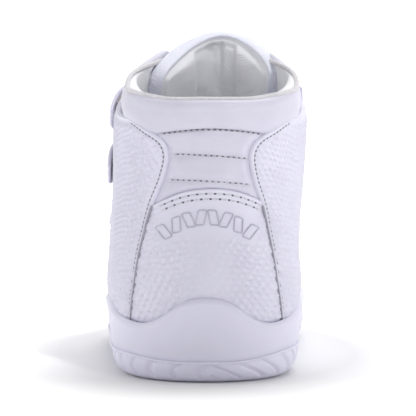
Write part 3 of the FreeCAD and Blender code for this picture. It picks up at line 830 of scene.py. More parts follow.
def channel_puff(p):
    z, x = p[..., 2], p[..., 0]
    bounds = [arch_z(x), row_height(2, x), row_height(1, x), row_height(0, x)]
    out = np.zeros(x.shape)
    for low, high in zip(bounds[:-1], bounds[1:]):
        t = np.clip((z - low) / np.maximum(high - low, 0.5), 0, 1)
        size = np.clip((high - low) / 8.0, 0.2, 1.1)
        out += size * 1.7 * (1 - np.abs(2 * t - 1) ** 2.6) * ((z >= low) & (z < high))
    return out


def achilles_outer(p, d, u, v):
    return -0.35 + channel_puff(p) * ease((-back_seam(p) + 0.5) / 4.5) - 0.2 * ridge(d, 0, 0.8)


CHANNEL_LEVELS, CHANNEL_DEGREES = (3.6, 6.6), (-48, 48)
ROW_ENDS = ((-17.5, 21.5), (-12.6, 16.4), (-14.6, 17.2))


def make_back_panels():
    zone = (lambda p: 1.6 - back_seam(p), lambda p: row_height(0, p[..., 0]) + 0.5 - p[..., 2],
            above_arch)
    patch = last_patch(CHANNEL_LEVELS, CHANNEL_DEGREES, 0.5, zone)

    def held(p, u, v):
        rows = sum(ridge(p[..., 2], row_height(k, p[..., 0]), 1.3) for k in range(3))
        return rows + (back_seam(p) > -1.5) + (above_arch(p) < 1.0) + (p[..., 2] > ROW_Z[0])

    puff = Billow(last, np.linspace(*CHANNEL_LEVELS, 40), np.radians(np.linspace(*CHANNEL_DEGREES, 46)),
                  held, slack=0.03, pressure=6.0, cap=1.4)
    # The channelled panel takes the darker leather copy, which paints the shade of the heel's hollow.
    panel = patch.sheet("channelled_panel", "shoe", "white_leather", LEATHER_IN_PAINTED_SHADE, -1.4,
                        achilles_outer, ("achilles_panel",), move=puff)
    for k, row_ends in enumerate(ROW_ENDS):
        xs = np.linspace(*row_ends, 80)
        points, n = on_back(xs, row_height(k, xs))
        stitches.row(points + n * -0.12, n, 2.15, dash=0.5, hole=(1.0, 0.6), thread=0.62)
    cover = last_patch((0.02, 5.2), (-78, 78), 0.5,
                       (lambda p: 1.6 - back_seam(p), lambda p: -above_arch(p)))
    cover.sheet("heel_counter_panel", "shoe", "embossed_leather", EMBOSSED, -1.4, counter_outer,
                ("heel_counter_cover",))
    for drop, half in ((1.9, 19.5), (3.9, 19.0)):
        xs = np.linspace(1.4 - half, 1.6 + half, 90)
        points, n = on_back(xs, arch_z(xs) - drop)
        stitches.row(points + n * 0.2, n, 3.4, dash=0.55, hole=(1.15, 0.95), thread=0.6)


def on_back(xs, zs):
    """Points and normals on the back of the last at given x and height."""
    level = np.interp(zs, back_z(np.linspace(0, 9, 200)), np.linspace(0, 9, 200))
    angle = xs / 33.0
    for _ in range(14):
        p = last(level, angle)
        du = (last(level + 0.01, angle) - p) / 0.01
        dv = (last(level, angle + 0.01) - p) / 0.01
        ex, ez = xs - p[:, 0], zs - p[:, 2]
        det = du[:, 0] * dv[:, 2] - du[:, 2] * dv[:, 0]
        level = level + np.clip((ex * dv[:, 2] - ez * dv[:, 0]) / det, -1, 1)
        angle = angle + np.clip((du[:, 0] * ez - du[:, 2] * ex) / det, -0.3, 0.3)
    return last(level, angle), normals_of(last, level, angle)


# ---------------------------------------------------------------- collar
TABLE = np.radians(np.arange(-180, 181, 1.0))
ROLL_THICKNESS, ROLL_HALF_HEIGHT = 4.1, 3.9
HEEL_DIP = 2.1                        # how much lower the roll is at the heel
SEAM_DRAW = 3.7                       # how far the seam is drawn outwards at the sides


def solve_top():
    """Level at which the topline runs, for each angle of the table."""
    lo, hi = np.full(TABLE.shape, 5.0), np.full(TABLE.shape, 8.9)
    for _ in range(40):
        mid = (lo + hi) / 2
        p = last(mid, TABLE)
        high = p[:, 2] > topline(p[:, 1])
        lo, hi = np.where(high, lo, mid), np.where(high, mid, hi)
    return lo


top_table = solve_top()
stretch_table = np.linalg.norm(last(top_table + 0.1, TABLE) - last(top_table - 0.1, TABLE),
                               axis=1) / 0.2


def padding(turn):
    """Extra thickness of the collar, which fades out towards the sides."""
    return COLLAR_EXTRA * (1 - ease((turn - 0.85) / 0.75))


def collar_surface(u, v):
    """u runs up the outside (below 0), over the roll, and down the inside; v is the angle."""
    a = wrap(v)
    turn = np.abs(a)
    top = np.interp(a, TABLE, top_table)
    per = np.interp(a, TABLE, stretch_table)
    pad = padding(turn)
    thick = ROLL_THICKNESS + pad
    wide = thick / 2 + 0.15
    tall = np.minimum(wide, ROLL_HALF_HEIGHT)
    top = top - HEEL_DIP * (1 - ease((turn - 0.3) / 0.6)) / per
    middle = -thick / 2 + 0.75 - 1.3 * ease((turn - 0.7) / 0.7)
    around_roll = np.pi * (wide + tall) / 2
    phi = np.clip(u / around_roll, 0, 1) * np.pi
    down_out = np.minimum(u, 0)
    down_in = np.maximum(u - around_roll, 0)
    level = top - tall / per + (down_out - down_in) / per + tall * np.sin(phi) / per
    off = middle + wide * np.cos(phi)
    reach = np.clip(-down_out / 10.0, 0, 1)
    swell = 1.0 * np.sin(np.pi * np.clip(reach, 0, 1)) - 0.9 * ease(reach)
    off = off + np.where(down_out < 0, swell, 0)
    inside_pad = COLLAR_EXTRA * ease((level - 4.6) / 1.6) * (1 - ease((turn - 0.85) / 0.75))
    off = np.where(down_in > 0, middle - wide + (pad - inside_pad) * ease(down_in / 3.0), off)
    return on_last(level, v, off)


def rolled(u, v):
    """The collar's surface with its seam drawn outwards at the sides."""
    a = np.abs(wrap(v))
    return collar_surface(u - SEAM_DRAW * ease((a - 0.45) / 0.6) * ease((2.3 - a) / 0.9), v)


PIPING_AT = 7.4                       # where the piping lies on the roll


def make_collar():
    degrees = (-146, 146)
    angles = arc_angles(7.2, *degrees, 0.8)
    outside = np.arange(-26, 0, 0.7 * FINE)
    over = np.arange(0, 8.0, 0.55 * FINE)

    def seams(p):
        side = np.where(p[..., 1] > 30, -side_top(p), np.maximum(-back_seam(p), -side_top(p)))
        return np.minimum(side + 2.2, p[..., 2] - row_height(0, p[..., 0]))

    def front_corner(p):
        return outside_throat(p, 0.4) - 5.0 * ease((p[..., 2] - topline(p[..., 1]) + 4.5) / 5.5) ** 2

    patch = Patch(rolled, np.concatenate([outside, over]), angles, (seams, front_corner))

    def held(p, u, v):
        return (seams(p) < 1.2) * 1.0 + (u > 6.0) + (outside_throat(p) < 3)

    def outer(p, d, u, v):
        sewn = ridge(p[..., 2] - row_height(0, p[..., 0]), 0, 1.2)
        return -0.1 + rounded_edge(d, 0.3, 1.0) - 0.25 * sewn

    puff = Billow(rolled, np.linspace(-26, 8, 22), np.linspace(angles[0], angles[-1], 124),
                  held, slack=0.0, pressure=3.0, cap=0.9)
    # The collar takes the darker leather copy, which paints the shade on the padded collar.
    leather = patch.sheet("collar_leather", "shoe", "white_leather", LEATHER_IN_PAINTED_SHADE, -0.9, outer,
                          ("collar_panel",), move=puff)
    rail = rolled(PIPING_AT, arc_angles(PIPING_AT, *degrees, 1.0))
    rail = rail[front_corner(rail) > 1.0]
    tube("topline_piping", rail, 1.05, "shoe", PIPING, ("topline_binding",))
    inner = np.concatenate([np.arange(7.0, 22, 0.6 * FINE), np.arange(22, 71, 1.1 * FINE)])
    lining = Patch(rolled, inner, arc_angles(7.2, -150, 150, 1.0),
                   (lambda p: outside_throat(p, 0.6), lambda p: -ahead_of_vamp_seam(p)))
    cloth = lining.sheet("collar_lining_cloth", "shoe", "lining_cloth", LINING, -0.7,
                         lambda p, d, u, v: 0.0 * d, ("collar_lining", "collar_foam"))


def capped(name, rings, tips, body, mat, replaces, flip=False):
    """Closed tube from rings of points, with one more point at each end."""
    count, sides = rings.shape[:2]
    quads = grid_quads(count, sides, ring_cols=True)
    k = np.arange(sides)
    k2 = (k + 1) % sides
    tip, base = count * sides, (count - 1) * sides
    tris = np.concatenate([np.stack([np.full(sides, tip), k2, k], 1),
                           np.stack([np.full(sides, tip + 1), base + k, base + k2], 1)])
    if flip:
        quads, tris = quads[:, FLIP_QUAD], tris[:, FLIP_TRIANGLE]
    return add_object(name, place(np.concatenate([rings.reshape(-1, 3), tips])), [quads, tris],
                      body, mat, replaces)


def ring_points(centres, side, up, wide, high, sides, scale=1.0):
    """Oval rings of points round a line of centres."""
    ring = np.linspace(0, 2 * np.pi, sides, endpoint=False)
    scale = np.broadcast_to(scale, (len(centres),))[:, None, None]
    return (centres[:, None] + side[:, None] * (np.cos(ring) * wide)[None, :, None] * scale
            + up[:, None] * (np.sin(ring) * high)[None, :, None] * scale)


def tube(name, rail, radius, body, mat, replaces=()):
    """Closed tube of even radius along a line of points, with rounded ends."""
    t = unit(np.gradient(rail, axis=0))
    side = unit(np.cross(t, np.tile([0.0, 0.0, 1.0], (len(rail), 1))))
    rings = ring_points(rail, side, np.cross(side, t), radius, radius, 12)
    tips = np.stack([rail[0] - t[0] * radius * 0.6, rail[-1] + t[-1] * radius * 0.6])
    return capped(name, rings, tips, body, mat, replaces)


# ---------------------------------------------------------------- vamp, cap, eyestays
def make_front():
    vamp = last_patch((0.02, 6.4), (78, 284), 1.0, (ahead_of_vamp_seam, outside_throat), at=2)
    vamp.sheet("vamp_leather", "shoe", "white_leather", LEATHER, -1.4,
               lambda p, d, u, v: 0.0 - 0.3 * ridge(d, 0, 0.8), ("vamp",))
    cap = last_patch((0.02, 3.4), (110, 250), 0.8, (ahead_of_cap_seam,), at=1)
    cap.sheet("toe_cap_leather", "shoe", "white_leather", LEATHER, -0.3,
              lambda p, d, u, v: PROUD - 0.3 * ridge(d, 1.9, 0.45) - 0.3 * ridge(d, 4.3, 0.45)
              + rounded_edge(d, 0.8, 0.9), ("toe_cap",))
    for depth in (1.9, 4.3):
        sew(cap, cap.contour(0, depth, cap.points[..., 2] > 27), 2.4, PROUD - 0.15)
    for name, degrees in (("medial", (86, 180)), ("lateral", (180, 274))):
        stay = last_patch((3.0, 8.3), degrees, 0.7,
                          (outside_throat, lambda p: 9 - outside_throat(p),
                           lambda p: topline(p[..., 1]) - 3.2 - p[..., 2]), at=5)
        stay.sheet(f"eyestay_{name}_leather", "shoe", "white_leather", LEATHER, -0.9,
                   lambda p, d, u, v: 1.85 - 0.3 * ridge(d, 1.9, 0.45) + rounded_edge(d, 0.9, 0.9),
                   (f"eyestay_{name}",))
        for which, other in ((1, 0), (0, 1)):
            low = (stay.distance[other] > 1.5) & (stay.distance[2] > 2.5)
            sew(stay, stay.contour(which, 1.9, low), 2.2, 1.7)
        ends = last_patch((4.6, 8.75), degrees, 0.7, (outside_throat,), at=5)
        low = topline(ends.points[..., 1]) - 2.6
        rail = max(ends.contour(0, 2.1, (ends.points[..., 2] < low) & (ends.points[..., 2] > 74)),
                   key=len)
        path, _ = resample(rail, 60)
        p = on_last(path[:, 0], path[:, 1], -1.7)
        n = normals_of(last, path[:, 0], path[:, 1])
        flat_tube(f"collar_end_{name}", p, n, 2.0, 2.3, "shoe", LEATHER)


def flat_tube(name, rail, normals, wide, high, body, mat, replaces=()):
    """Closed tube with an oval section, wide along the surface and high along the normals."""
    both, _ = resample(np.hstack([rail, normals]), max(len(rail), 40))
    rail, normals = both[:, :3], unit(both[:, 3:])
    t, s, n = frame_along(rail, normals)
    a = (np.arange(5) + 0.5) / 5 * np.pi / 2
    cos, sin = np.cos(a)[:, None], np.sin(a)
    c = np.concatenate([rail[0] - t[0] * wide * cos, rail, rail[-1] + t[-1] * wide * cos[::-1]])
    s, n = (np.concatenate([np.tile(x[0], (5, 1)), x, np.tile(x[-1], (5, 1))]) for x in (s, n))
    scale = np.concatenate([sin, np.ones(len(rail)), sin[::-1]])
    tips = np.stack([c[0] - t[0] * wide * 0.1, c[-1] + t[-1] * wide * 0.1])
    return capped(name, ring_points(c, s, n, wide, high, 14, scale), tips, body, mat,
                  replaces, flip=True)


# ---------------------------------------------------------------- tongue
TONGUE_HALF = Spline([4.2, 5, 6, 7, 7.7, 8.6], [22, 36, 48, 62.5, 66.5, 57])
TONGUE_LOW, TONGUE_SIDE_TOP, TONGUE_RISE = 4.3, 7.62, 0.87
TONGUE_DEPTH = -7.4                   # how far the tongue lies inside the last


def tongue_surface(s, t, inset=0.0):
    """s runs up the tongue and t across it; inset draws its rim in."""
    across = -np.cos(np.pi * np.asarray(t))
    top = TONGUE_SIDE_TOP + TONGUE_RISE * np.maximum(1 - np.abs(across) ** 2.0, 0) ** 0.6
    level = TONGUE_LOW + (top - inset * 0.06 - TONGUE_LOW) * np.asarray(s)
    half = TONGUE_HALF(level) - inset * 1.75
    p = on_last(level, np.radians(180 + half * across), TONGUE_DEPTH)
    p[..., 0] += 1.4 * ease((p[..., 2] - 108) / 20.0) + 0.07 * np.maximum(p[..., 0], 0)
    return p


def edge_distance(points, *borders):
    """Millimetres from each point of a grid to border lines."""
    line = np.concatenate(borders)
    flat = points.reshape(-1, 3)
    out = np.empty(len(flat))
    for i in range(0, len(flat), 4000):
        d = flat[i:i + 4000, None] - line[None]
        out[i:i + 4000] = np.sqrt((d * d).sum(-1)).min(1)
    return out.reshape(points.shape[:-1])


def fold_lines(z):
    """Where the three creases in the tongue's lining run, left, middle and right."""
    low = ease((130 - z) / 14.0)
    return -7.3 + 1.5 * low, 6.3 + 0.4 * np.sin(z / 5.0), 14.3 - 0.5 * low


def lining_creases(p):
    """1 in the creases of the tongue's lining, where its cloth is held down."""
    left, middle, right = fold_lines(p[..., 2])
    x = p[..., 0]
    low = ease((p[..., 2] - 115) / 5.0)
    return ridge(x, left, 1.2) + ridge(x, right, 1.2) + ridge(x, middle, 0.9) * low


def lining_folds(p):
    """Height of the lobes and creases of the tongue's lining."""
    x, z = p[..., 0], p[..., 2]
    left, middle, right = fold_lines(z)
    centre = ease((x - left + 0.6) / 2.4) * ease((right + 0.6 - x) / 2.4)
    lobes = 1.9 * ridge(x, left - 7.5, 6.5) + 1.9 * ridge(x, right + 7.5, 6.5)
    pleat = 1.9 * ridge(x, middle, 0.8) * ease((z - 115) / 6.0)
    swell = 0.7 * np.sin(np.clip((x - left) / (right - left), 0, 1) * 2 * np.pi * 1.6) * centre
    return lobes - pleat + swell - centre * (2.2 + 1.2 * ease((129 - z) / 20.0))


def make_tongue():
    s, t = np.linspace(0, 1, 220), np.linspace(0, 1, 260)
    edges = [tongue_surface(s, 0.0), tongue_surface(1.0, t), tongue_surface(s, 1.0)]
    shell = Patch(tongue_surface, np.linspace(0, 1, int(150 / FINE)),
                  np.linspace(0, 1, int(170 / FINE)))
    shell.distance = [edge_distance(shell.points, *edges)]
    shell.sheet("tongue_leather", "tongue", "white_leather", LEATHER, 0.6,
                lambda p, d, u, v: 0.9 + 1.7 * (1 - np.clip(1 - d / 7.0, 0, 1) ** 2.4),
                ("tongue_shell",))

    def held(p, u, v):
        return (edge_distance(p, *edges) < 2.2) + lining_creases(p)

    def padded(p, d, u, v):
        even = 0.8 + 2.9 * (1 - np.clip(1 - d / 6.5, 0, 1) ** 2.2)
        return np.maximum(even + lining_folds(p) * ease((d - 2) / 3.0), 0.4)

    puff = Billow(tongue_surface, np.linspace(0, 1, 46), np.linspace(0, 1, 76), held, slack=0.03,
                  pressure=5.0, cap=2.2, sign=-1)
    pad = shell.sheet("tongue_padding", "tongue", "lining_cloth", LINING, -0.2, padded,
                      ("tongue_lining", "tongue_foam"), sign=-1, move=puff)
    up, across = np.linspace(0.02, 1, 70), np.linspace(0, 1, 90)[1:-1]
    s = np.concatenate([up, np.ones(88), up[::-1]])
    t = np.concatenate([np.zeros(70), across, np.ones(70)])
    n = normals_of(lambda a, b: tongue_surface(a, b, 1.3), np.clip(s, 0, 0.96),
                   np.clip(t, 0.02, 0.98))
    flat_tube("tongue_rim", tongue_surface(s, t, 0.15), n, 1.0, 2.9, "tongue", KNIT,
              ("tongue_binding",))


# ---------------------------------------------------------------- straps
# degrees round the shoe from root to free end, the level there, and the width
STRAPS = {
    "upper": ([108, 140, 180, 220, 265], [6.85, 7.08, 7.22, 7.0, 6.48], 20.0),
    "middle": ([97, 135, 180, 230, 287], [5.68, 6.02, 6.12, 5.87, 5.05], 20.0),
    "lower": ([101, 140, 180, 220, 268], [3.95, 4.6, 4.82, 4.5, 3.45], 18.0),
}
FREE_END_LIFT = {"upper": 1.6, "middle": -0.2, "lower": 0.0}
STRAP_OFF, ROOT_DIP = 3.4, 2.2        # height above the last, and how much less at the root
STRAP_START = -0.1                    # the root's end under the eyestay, as a share of the length
STRAP_SEAM = 2.2                      # from the strap's edge to its stitches
TAPES = (("hook", 2.3, 0.3, (0.87, 0.975), 0.8), ("loop", 1.3, 0.35, (0.86, 0.99), 0.86))


def strap_shape(name, width_share=1.0, height=STRAP_OFF):
    """Middle surface of a strap, close to the shoe at the root and standing off at the free end."""
    degrees, levels, width = STRAPS[name]
    centre = Spline(degrees, levels)

    def shape(s, share):
        s, share = np.broadcast_arrays(np.asarray(s, float), np.asarray(share, float))
        degree = degrees[0] + (degrees[-1] - degrees[0]) * share
        angle = np.radians(degree)
        full = width * width_share * (1 - 0.62 * np.clip((share - 0.9) / 0.1, 0, 1) ** 2.6)
        mid = centre(degree)
        per = np.linalg.norm(last(mid + 0.25, angle) - last(mid - 0.25, angle), axis=-1) * 2
        off = height - ROOT_DIP * (1 - ease((share + 0.04) / 0.14)) * (height == STRAP_OFF)
        off = off + FREE_END_LIFT[name] * ease((share - 0.7) / 0.3)
        return on_last(mid + (s - 0.5) * full / per, angle, off)

    return shape


def border(shape):
    """Lines along a strap's four edges."""
    across, along = np.linspace(0, 1, 60), np.linspace(STRAP_START, 1, 400)
    return [shape(across, STRAP_START), shape(0, along), shape(1, along), shape(across, 1)]


def strap_face(p, d, u, v):
    return (0.85 * np.sqrt(1 - np.clip(1 - d / 1.1, 0, 1) ** 2) - 0.25 * ridge(d, 2.2, 0.45)
            + 0.18 * ridge(d, 3.4, 1.0))


def strap_back(p, d, u, v):
    return -0.75 * np.sqrt(1 - np.clip(1 - d / 1.0, 0, 1) ** 2)


def make_straps():
    for name, (_, _, width) in STRAPS.items():
        body = f"{name}_strap"
        shape = strap_shape(name)
        patch = Patch(shape, np.linspace(0, 1, int(44 / FINE)),
                      np.linspace(STRAP_START, 1, int(250 / FINE)))
        patch.distance = [edge_distance(patch.points, *border(shape))]
        strap = patch.sheet(f"{name}_strap_leather", None, "strap", LEATHER, strap_back, strap_face)
        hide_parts(body, f"{name}_strap_anchor")
        start, end = (tuple(map(float, place(shape(0.5, share)))) for share in (-0.025, 0.045))
        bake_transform(strap)
        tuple(start)
        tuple(end)
        seam = Stitching()
        run = np.linspace(0.06, 0.965, 300)
        for s in (STRAP_SEAM / width, 1 - STRAP_SEAM / width):
            n = normals_of(shape, s, run)
            seam.row(shape(s, run) + n * 0.55, n, 2.3, thread=0.45)
        seam.build(f"{name}_strap_stitch", body)
        for part, height, half, along, share in TAPES:
            pad = Patch(strap_shape(name, share, height), np.linspace(0, 1, int(30 / FINE)),
                        np.linspace(*along, int(30 / FINE)))
            pad.sheet(f"{name}_strap_{part}_pile", body if part == "hook" else "shoe", f"{part}_tape",
                      TAPE, -half,
                      lambda p, d, u, v: half + 0.12 * np.sin(p[..., 2] * 5.2) * np.sin(p[..., 1] * 5.2),
                      (f"{name}_strap_{part}",))


# ---------------------------------------------------------------- sole
SOLE_TURNS = np.radians(np.linspace(0, 360, int(720 / FINE) + 1)[:-1])


def sole_point(angle, z, extra):
    """Outer wall of the sole at a height above the toe spring."""
    p = last(1, angle)
    n = normals_of(last, 1.0, angle)
    n[..., 2] = 0
    n = unit(n)
    out = wall_out(z) + TOE_BUMPER * ease((from_heel(angle) - 2.3) / 0.8) + extra
    drawn_in = waist(np.where(angle <= np.pi, 1, -1), p[..., 1])
    out = out - drawn_in * np.maximum(0, (26 - z) / 26.0) ** 1.3
    q = p + n * out[..., None]
    q[..., 2] = z
    return q


def ring_mesh(name, rings, body, mat, replaces):
    """Closed body from rings of equal length that start and end on a spine."""
    rings = np.array(rings)
    quads = grid_quads(*rings.shape[:2], ring_cols=True)
    return add_object(name, place(rings.reshape(-1, 3)), [quads], body, mat, replaces)


def to_spine(ring, share, z):
    """Ring drawn in towards the sole's middle line."""
    q = ring.copy()
    y0, y1 = ring[:, 1].min() + 28, ring[:, 1].max() - 34
    inner = np.stack([np.full(len(q), 2.0), np.clip(ring[:, 1], y0, y1), q[:, 2]], 1)
    q = q + (inner - q) * share
    q[:, 2] = z
    return q


def closing(ring, z, steps=8):
    """Rings that close a ring in to the sole's middle line."""
    return [to_spine(ring, k / steps, z) for k in range(1, steps + 1)]


def ledge_z(angle):
    """Height of the line between foam and rubber."""
    turn = from_heel(angle)
    rise = np.where(angle < np.pi, 3.2, 2.0)
    return 8.0 + rise * ease((turn - 0.12) / 0.5) - (rise - 0.8) * ease((turn - 1.2) / 1.2)


SWIRL_PITCH, SWIRL_TOP = 9.0, 8.6


def swirl(angle, z):
    """Slanted crescent grooves round the outsole wall."""
    g = girth(angle)
    bow = np.where(g < 2, 2.6 * (1 - ((z - 3.6) / 3.6) ** 2), (z - 3.6) * 1.9)
    phase = (g + bow) / SWIRL_PITCH
    f = np.abs(phase - np.round(phase)) * SWIRL_PITCH
    width = np.where(np.round(phase) % 2 == 0, 1.25, 0.8)
    return np.exp(-(f / width) ** 2) * ease((z - 0.4) / 1.2) * ease((SWIRL_TOP - z) / 1.6)


# heights and offsets of the wall where the sole turns; the lip's are drops below its top
LIP_TURN = ((2.45, 0.12), (2.1, 0.12), (1.7, 0.02), (1.3, -0.18), (0.9, -0.45), (0.5, -0.8),
            (0.2, -1.12), (0.0, -1.45), (0.1, -1.9))
TREAD_TURN = ((0.0, -4.2), (0.35, -3.0), (0.9, -1.9), (1.5, -1.2))
LEDGE_TURN = ((-0.6, 0.2), (-0.35, 0.42), (-0.05, 0.46), (0.2, 0.3), (0.3, -0.2))
LIP_START = 2.8                       # below the lip, where its turn begins
TREAD_WALL = 2.0                      # height at which the outsole's wall begins


def midsole_rings(a, line, lip):
    wall = sole_point(a, line - 0.1, -0.6)
    rings = [to_spine(wall, 1 - k / 12 * 0.985, line) for k in range(13)]
    for f in np.linspace(0, 1, int(44 / FINE)):
        z = line + (lip - LIP_START - line) * f
        rings.append(sole_point(a, z, -0.5 * np.exp(-((z - line) / 1.6) ** 2)))
    rings += [sole_point(a, lip - drop, out) for drop, out in LIP_TURN]
    rings += cup_rings(a, lip)
    return rings + closing(rings[-1], rings[-1][:, 2])


def outsole_rings(a, line):
    rings = []
    sole_ring = sole_point(a, 0.0, -4.6)
    for k in range(27):
        share = 1 - k / 27
        q = to_spine(sole_ring, share, 0.0)
        q[:, 2] = 1.3 * tread(q) * ease((1 - share) * 30) * ease(share * 12)
        rings.append(q)
    rings += [sole_point(a, z, out) for z, out in TREAD_TURN]
    for f in np.linspace(0.02, 1, int(26 / FINE)):
        z = TREAD_WALL + (line - 0.9 - TREAD_WALL) * f
        out = -1.0 * swirl(a, z * 8.0 / line) - 0.65 * (1 - f) ** 2 - 0.2
        rings.append(sole_point(a, z, out))
    rings += [sole_point(a, line + rise, out) for rise, out in LEDGE_TURN]
    return rings + closing(rings[-1], line - 0.6)


def make_sole():
    a = SOLE_TURNS
    line, lip = ledge_z(a), lip_z(from_heel(a))
    ring_mesh("midsole_foam", midsole_rings(a, line, lip), "shoe", SOLE, ("midsole",))
    ring_mesh("outsole_rubber", outsole_rings(a, line), "shoe", RUBBER, ("outsole",))


def tread(q):
    """1 in the grooves of the tread, 0 on its ribs."""
    x, y = q[:, 0], q[:, 1]
    wave = y + 5.0 * np.sin(x / 7.0)
    f = np.abs(wave / 8.0 - np.round(wave / 8.0)) * 8.0
    return ease((1.5 - f) / 0.7)


CUP_FLOOR = 9.6


def cup_rings(a, lip):
    """Inside wall of the sole's cup, a little outside the upper."""
    rings = []
    for f in np.linspace(0, 1, 14):
        z = lip - 0.6 + (CUP_FLOOR - (lip - 0.6)) * f
        lo, hi = np.full(a.shape, -0.6), np.full(a.shape, 4.0)
        for _ in range(22):
            mid = (lo + hi) / 2
            high = last(mid, a)[:, 2] > z
            lo, hi = np.where(high, lo, mid), np.where(high, mid, hi)
        rings.append(on_last(lo, a, 0.25 + 0.9 * ease(f * 6)))
        rings[-1][:, 2] = z
    return rings


# ---------------------------------------------------------------- heel motif
BAR = np.array([(-1.6, -2.75), (1.6, -2.75), (1.6, 2.75), (-1.6, 2.75)])
BARS_AT = np.linspace(-15.6, 16.6, 8)
BARS_TOP, BARS_DROOP = 61.6, 7.6


def make_motif():
    """Row of raised outlined bars with slanted ends on the heel counter."""
    verts, faces, base = [], [], 0
    for k, x in enumerate(BARS_AT):
        corners = BAR.copy()
        corners[:, 0] += (0.5 if k % 2 else -0.5) * corners[:, 1] * 0.5
        outline = np.concatenate([np.linspace(corners[i], corners[(i + 1) % 4], 12, endpoint=False)
                                  for i in range(4)])
        for _ in range(3):
            outline = (np.roll(outline, 1, 0) + 2 * outline + np.roll(outline, -1, 0)) / 4
        slope = math.radians(-1.55 * (x - 0.5))
        c, s = math.cos(slope), math.sin(slope)
        spin = outline @ np.array([[c, s], [-s, c]])
        z = BARS_TOP - BARS_DROOP * ((x - 0.5) / 19.0) ** 2
        points, n = on_back(x + spin[:, 0], z + spin[:, 1])
        t = unit(np.roll(points, -1, 0) - np.roll(points, 1, 0))
        rings = ring_points(points + n * 0.42, unit(np.cross(t, n)), n, 0.30, 0.34, 6)
        faces.append(grid_quads(len(points), 6, True, True)[:, FLIP_QUAD] + base)
        verts.append(rings.reshape(-1, 3))
        base += len(verts[-1])
    add_object("heel_motif", place(np.concatenate(verts)), [np.concatenate(faces)], "shoe",
               MOTIF)


def make_seam_gap_shades():
    """Dark tubes that paint the shade in the gap where the side panels meet the heel counter."""
    z = np.linspace(10, 65.5, 96)
    for side, name in ((1, "medial"), (-1, "lateral")):
        points, n = on_back(shift_x(z) + side * (seam_half(z) - 0.15), z)
        flat_tube(f"painted_seam_gap_{name}", points + n * 0.85, n, 0.3, 0.6, "shoe", SEAM_GAP_SHADE)


# ---------------------------------------------------------------- CAD pieces kept inside
KEPT = {
    "lasting_board": BOARD, "sockliner": LINING, "heel_stiffener": STIFF,
    "quarter_backer_medial": STIFF, "quarter_backer_lateral": STIFF, "toe_puff": STIFF,
    "vamp_backer": STIFF, "vamp_lining": LINING, "heel_lining": LINING,
}


def dress_kept():
    for name, mat in KEPT.items():
        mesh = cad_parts[name].data
        mesh.materials.clear()
        mesh.materials.append(mat)


make_front()
make_tongue()
make_straps()
make_sole()
make_motif()
make_seam_gap_shades()
dress_kept()

make_quarters()
make_back_panels()
make_collar()
stitches.build("upper_stitching", "shoe")


# ---------------------------------------------------------------- camera, light and floor
CAMERA_PLACE, CAMERA_TILT, CAMERA_LENS = (0.00075, -0.780, 0.080), 1.29, 152.6
WORLD_LIGHT = 0.36
LAMPS = (                             # name, place, aim, size, watts
    ("overhead", (0.25, 0.55, 1.5), (0, -0.02, 0.05), 0.8, 7.6),
    ("high", (0.1, -0.6, 1.5), (0, -0.03, 0.1), 0.6, 0.5),
    ("right", (1.5, -0.18, 0.6), (0, -0.05, 0.06), 0.8, 5.3),
    ("left", (-1.5, -0.18, 0.7), (0, -0.05, 0.06), 0.8, 4.8),
    ("back", (0.1, -1.9, 0.35), (0, -0.05, 0.08), 0.7, 1.6),
)
OPENING_LAMP, OPENING = (0.42, -0.9, 1.15), (-0.014, -0.04, 0.118)
FLOOR_REACH, SWEEP_START, SWEEP_RADIUS, SWEEP_TOP = 5.0, 1.2, 1.0, 4.0
# The floor glows only outside an oval round the shoe; inside it the glow fades out, which paints a
# darker shadow on the floor next to the shoe.
PAINTED_SHADOW_REACH, GLOW_TO, GLOW = 0.13, 0.225, 0.6


def stage():
    scene = bpy.context.scene
    scene.view_settings.view_transform = "Standard"
    world = bpy.data.worlds.new("studio")
    world.use_nodes = True
    wire(world.node_tree, world.node_tree.nodes["Background"],
         {"Color": (1, 1, 1, 1), "Strength": WORLD_LIGHT})
    scene.world = world
    camera = bpy.data.cameras.new("camera")
    camera.lens = CAMERA_LENS
    camera.sensor_width = 36
    camera.clip_end = 20
    view = bpy.data.objects.new("camera", camera)
    view.location = CAMERA_PLACE
    view.rotation_euler = (math.radians(90 - CAMERA_TILT), 0, 0)
    scene.collection.objects.link(view)
    scene.camera = view
    studio_floor()
    for name, spot, aim, size, power in LAMPS:
        light = bpy.data.lights.new(name, "AREA")
        light.size = size
        light.energy = power
        hang(light, spot, aim)
    narrow = bpy.data.lights.new("opening", "SPOT")
    narrow.energy = 140
    narrow.spot_size = math.radians(5.4)
    narrow.spot_blend = 1.0
    narrow.shadow_soft_size = 0.1
    hang(narrow, OPENING_LAMP, OPENING)


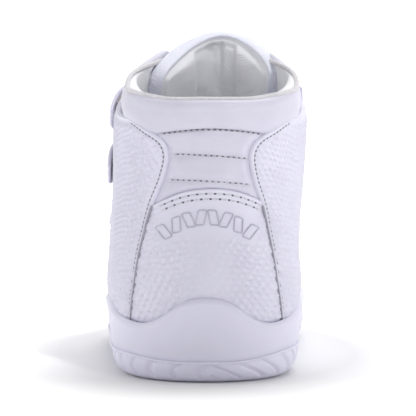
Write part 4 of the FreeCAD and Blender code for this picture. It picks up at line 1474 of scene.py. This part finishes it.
def hang(light, spot, aim):
    """Put a lamp at a spot, turned to a point."""
    lamp = bpy.data.objects.new(light.name, light)
    lamp.location = spot
    lamp.rotation_euler = (Vector(aim) - Vector(spot)).to_track_quat("-Z", "Y").to_euler()
    bpy.context.scene.collection.objects.link(lamp)


def studio_floor():
    """Pale floor that sweeps up behind the shoe and glows enough to read as white, except near the shoe,
    where the glow fades out and leaves a painted shadow round it.
    """
    profile = [(-FLOOR_REACH, 0.0), (SWEEP_START, 0.0)]
    profile += [(SWEEP_START + SWEEP_RADIUS * math.sin(a), SWEEP_RADIUS - SWEEP_RADIUS * math.cos(a))
                for a in np.linspace(0.1, 1.57, 16)]
    profile.append((SWEEP_START + SWEEP_RADIUS, SWEEP_TOP))
    verts = [(x, y, z) for y, z in profile for x in (-FLOOR_REACH, FLOOR_REACH)]
    faces = [(2 * k, 2 * k + 1, 2 * k + 3, 2 * k + 2) for k in range(len(profile) - 1)]
    mesh = bpy.data.meshes.new("floor")
    mesh.from_pydata(verts, [], faces)
    for polygon in mesh.polygons:
        polygon.use_smooth = True
    ground = bpy.data.objects.new("floor", mesh)
    bpy.context.scene.collection.objects.link(ground)
    paint = bpy.data.materials.new("floor_glow_painted_shadow")
    paint.use_nodes = True
    tree = paint.node_tree
    spot = node(tree, "TexCoord", {}).outputs["Object"]
    # Glow grows with distance from the shoe, so the floor close to it stays darker as a painted shadow.
    oval = node(tree, "VectorMath", {0: spot, 1: (2.0, 1.0, 1.0)}, operation="MULTIPLY")
    reach = node(tree, "VectorMath", {0: oval.outputs["Vector"]}, operation="LENGTH")
    shadow_ring_glow = node(tree, "MapRange", {"From Min": PAINTED_SHADOW_REACH, "From Max": GLOW_TO, "To Min": 0.0,
                                   "To Max": GLOW, "Value": reach.outputs["Value"]})
    wire(tree, tree.nodes["Principled BSDF"], {
        "Base Color": (0.9, 0.9, 0.9, 1), "Roughness": 0.9, "Specular IOR Level": 0.1,
        "Emission Color": (1, 1, 1, 1), "Emission Strength": shadow_ring_glow.outputs["Result"]})
    mesh.materials.append(paint)
    return ground


stage()
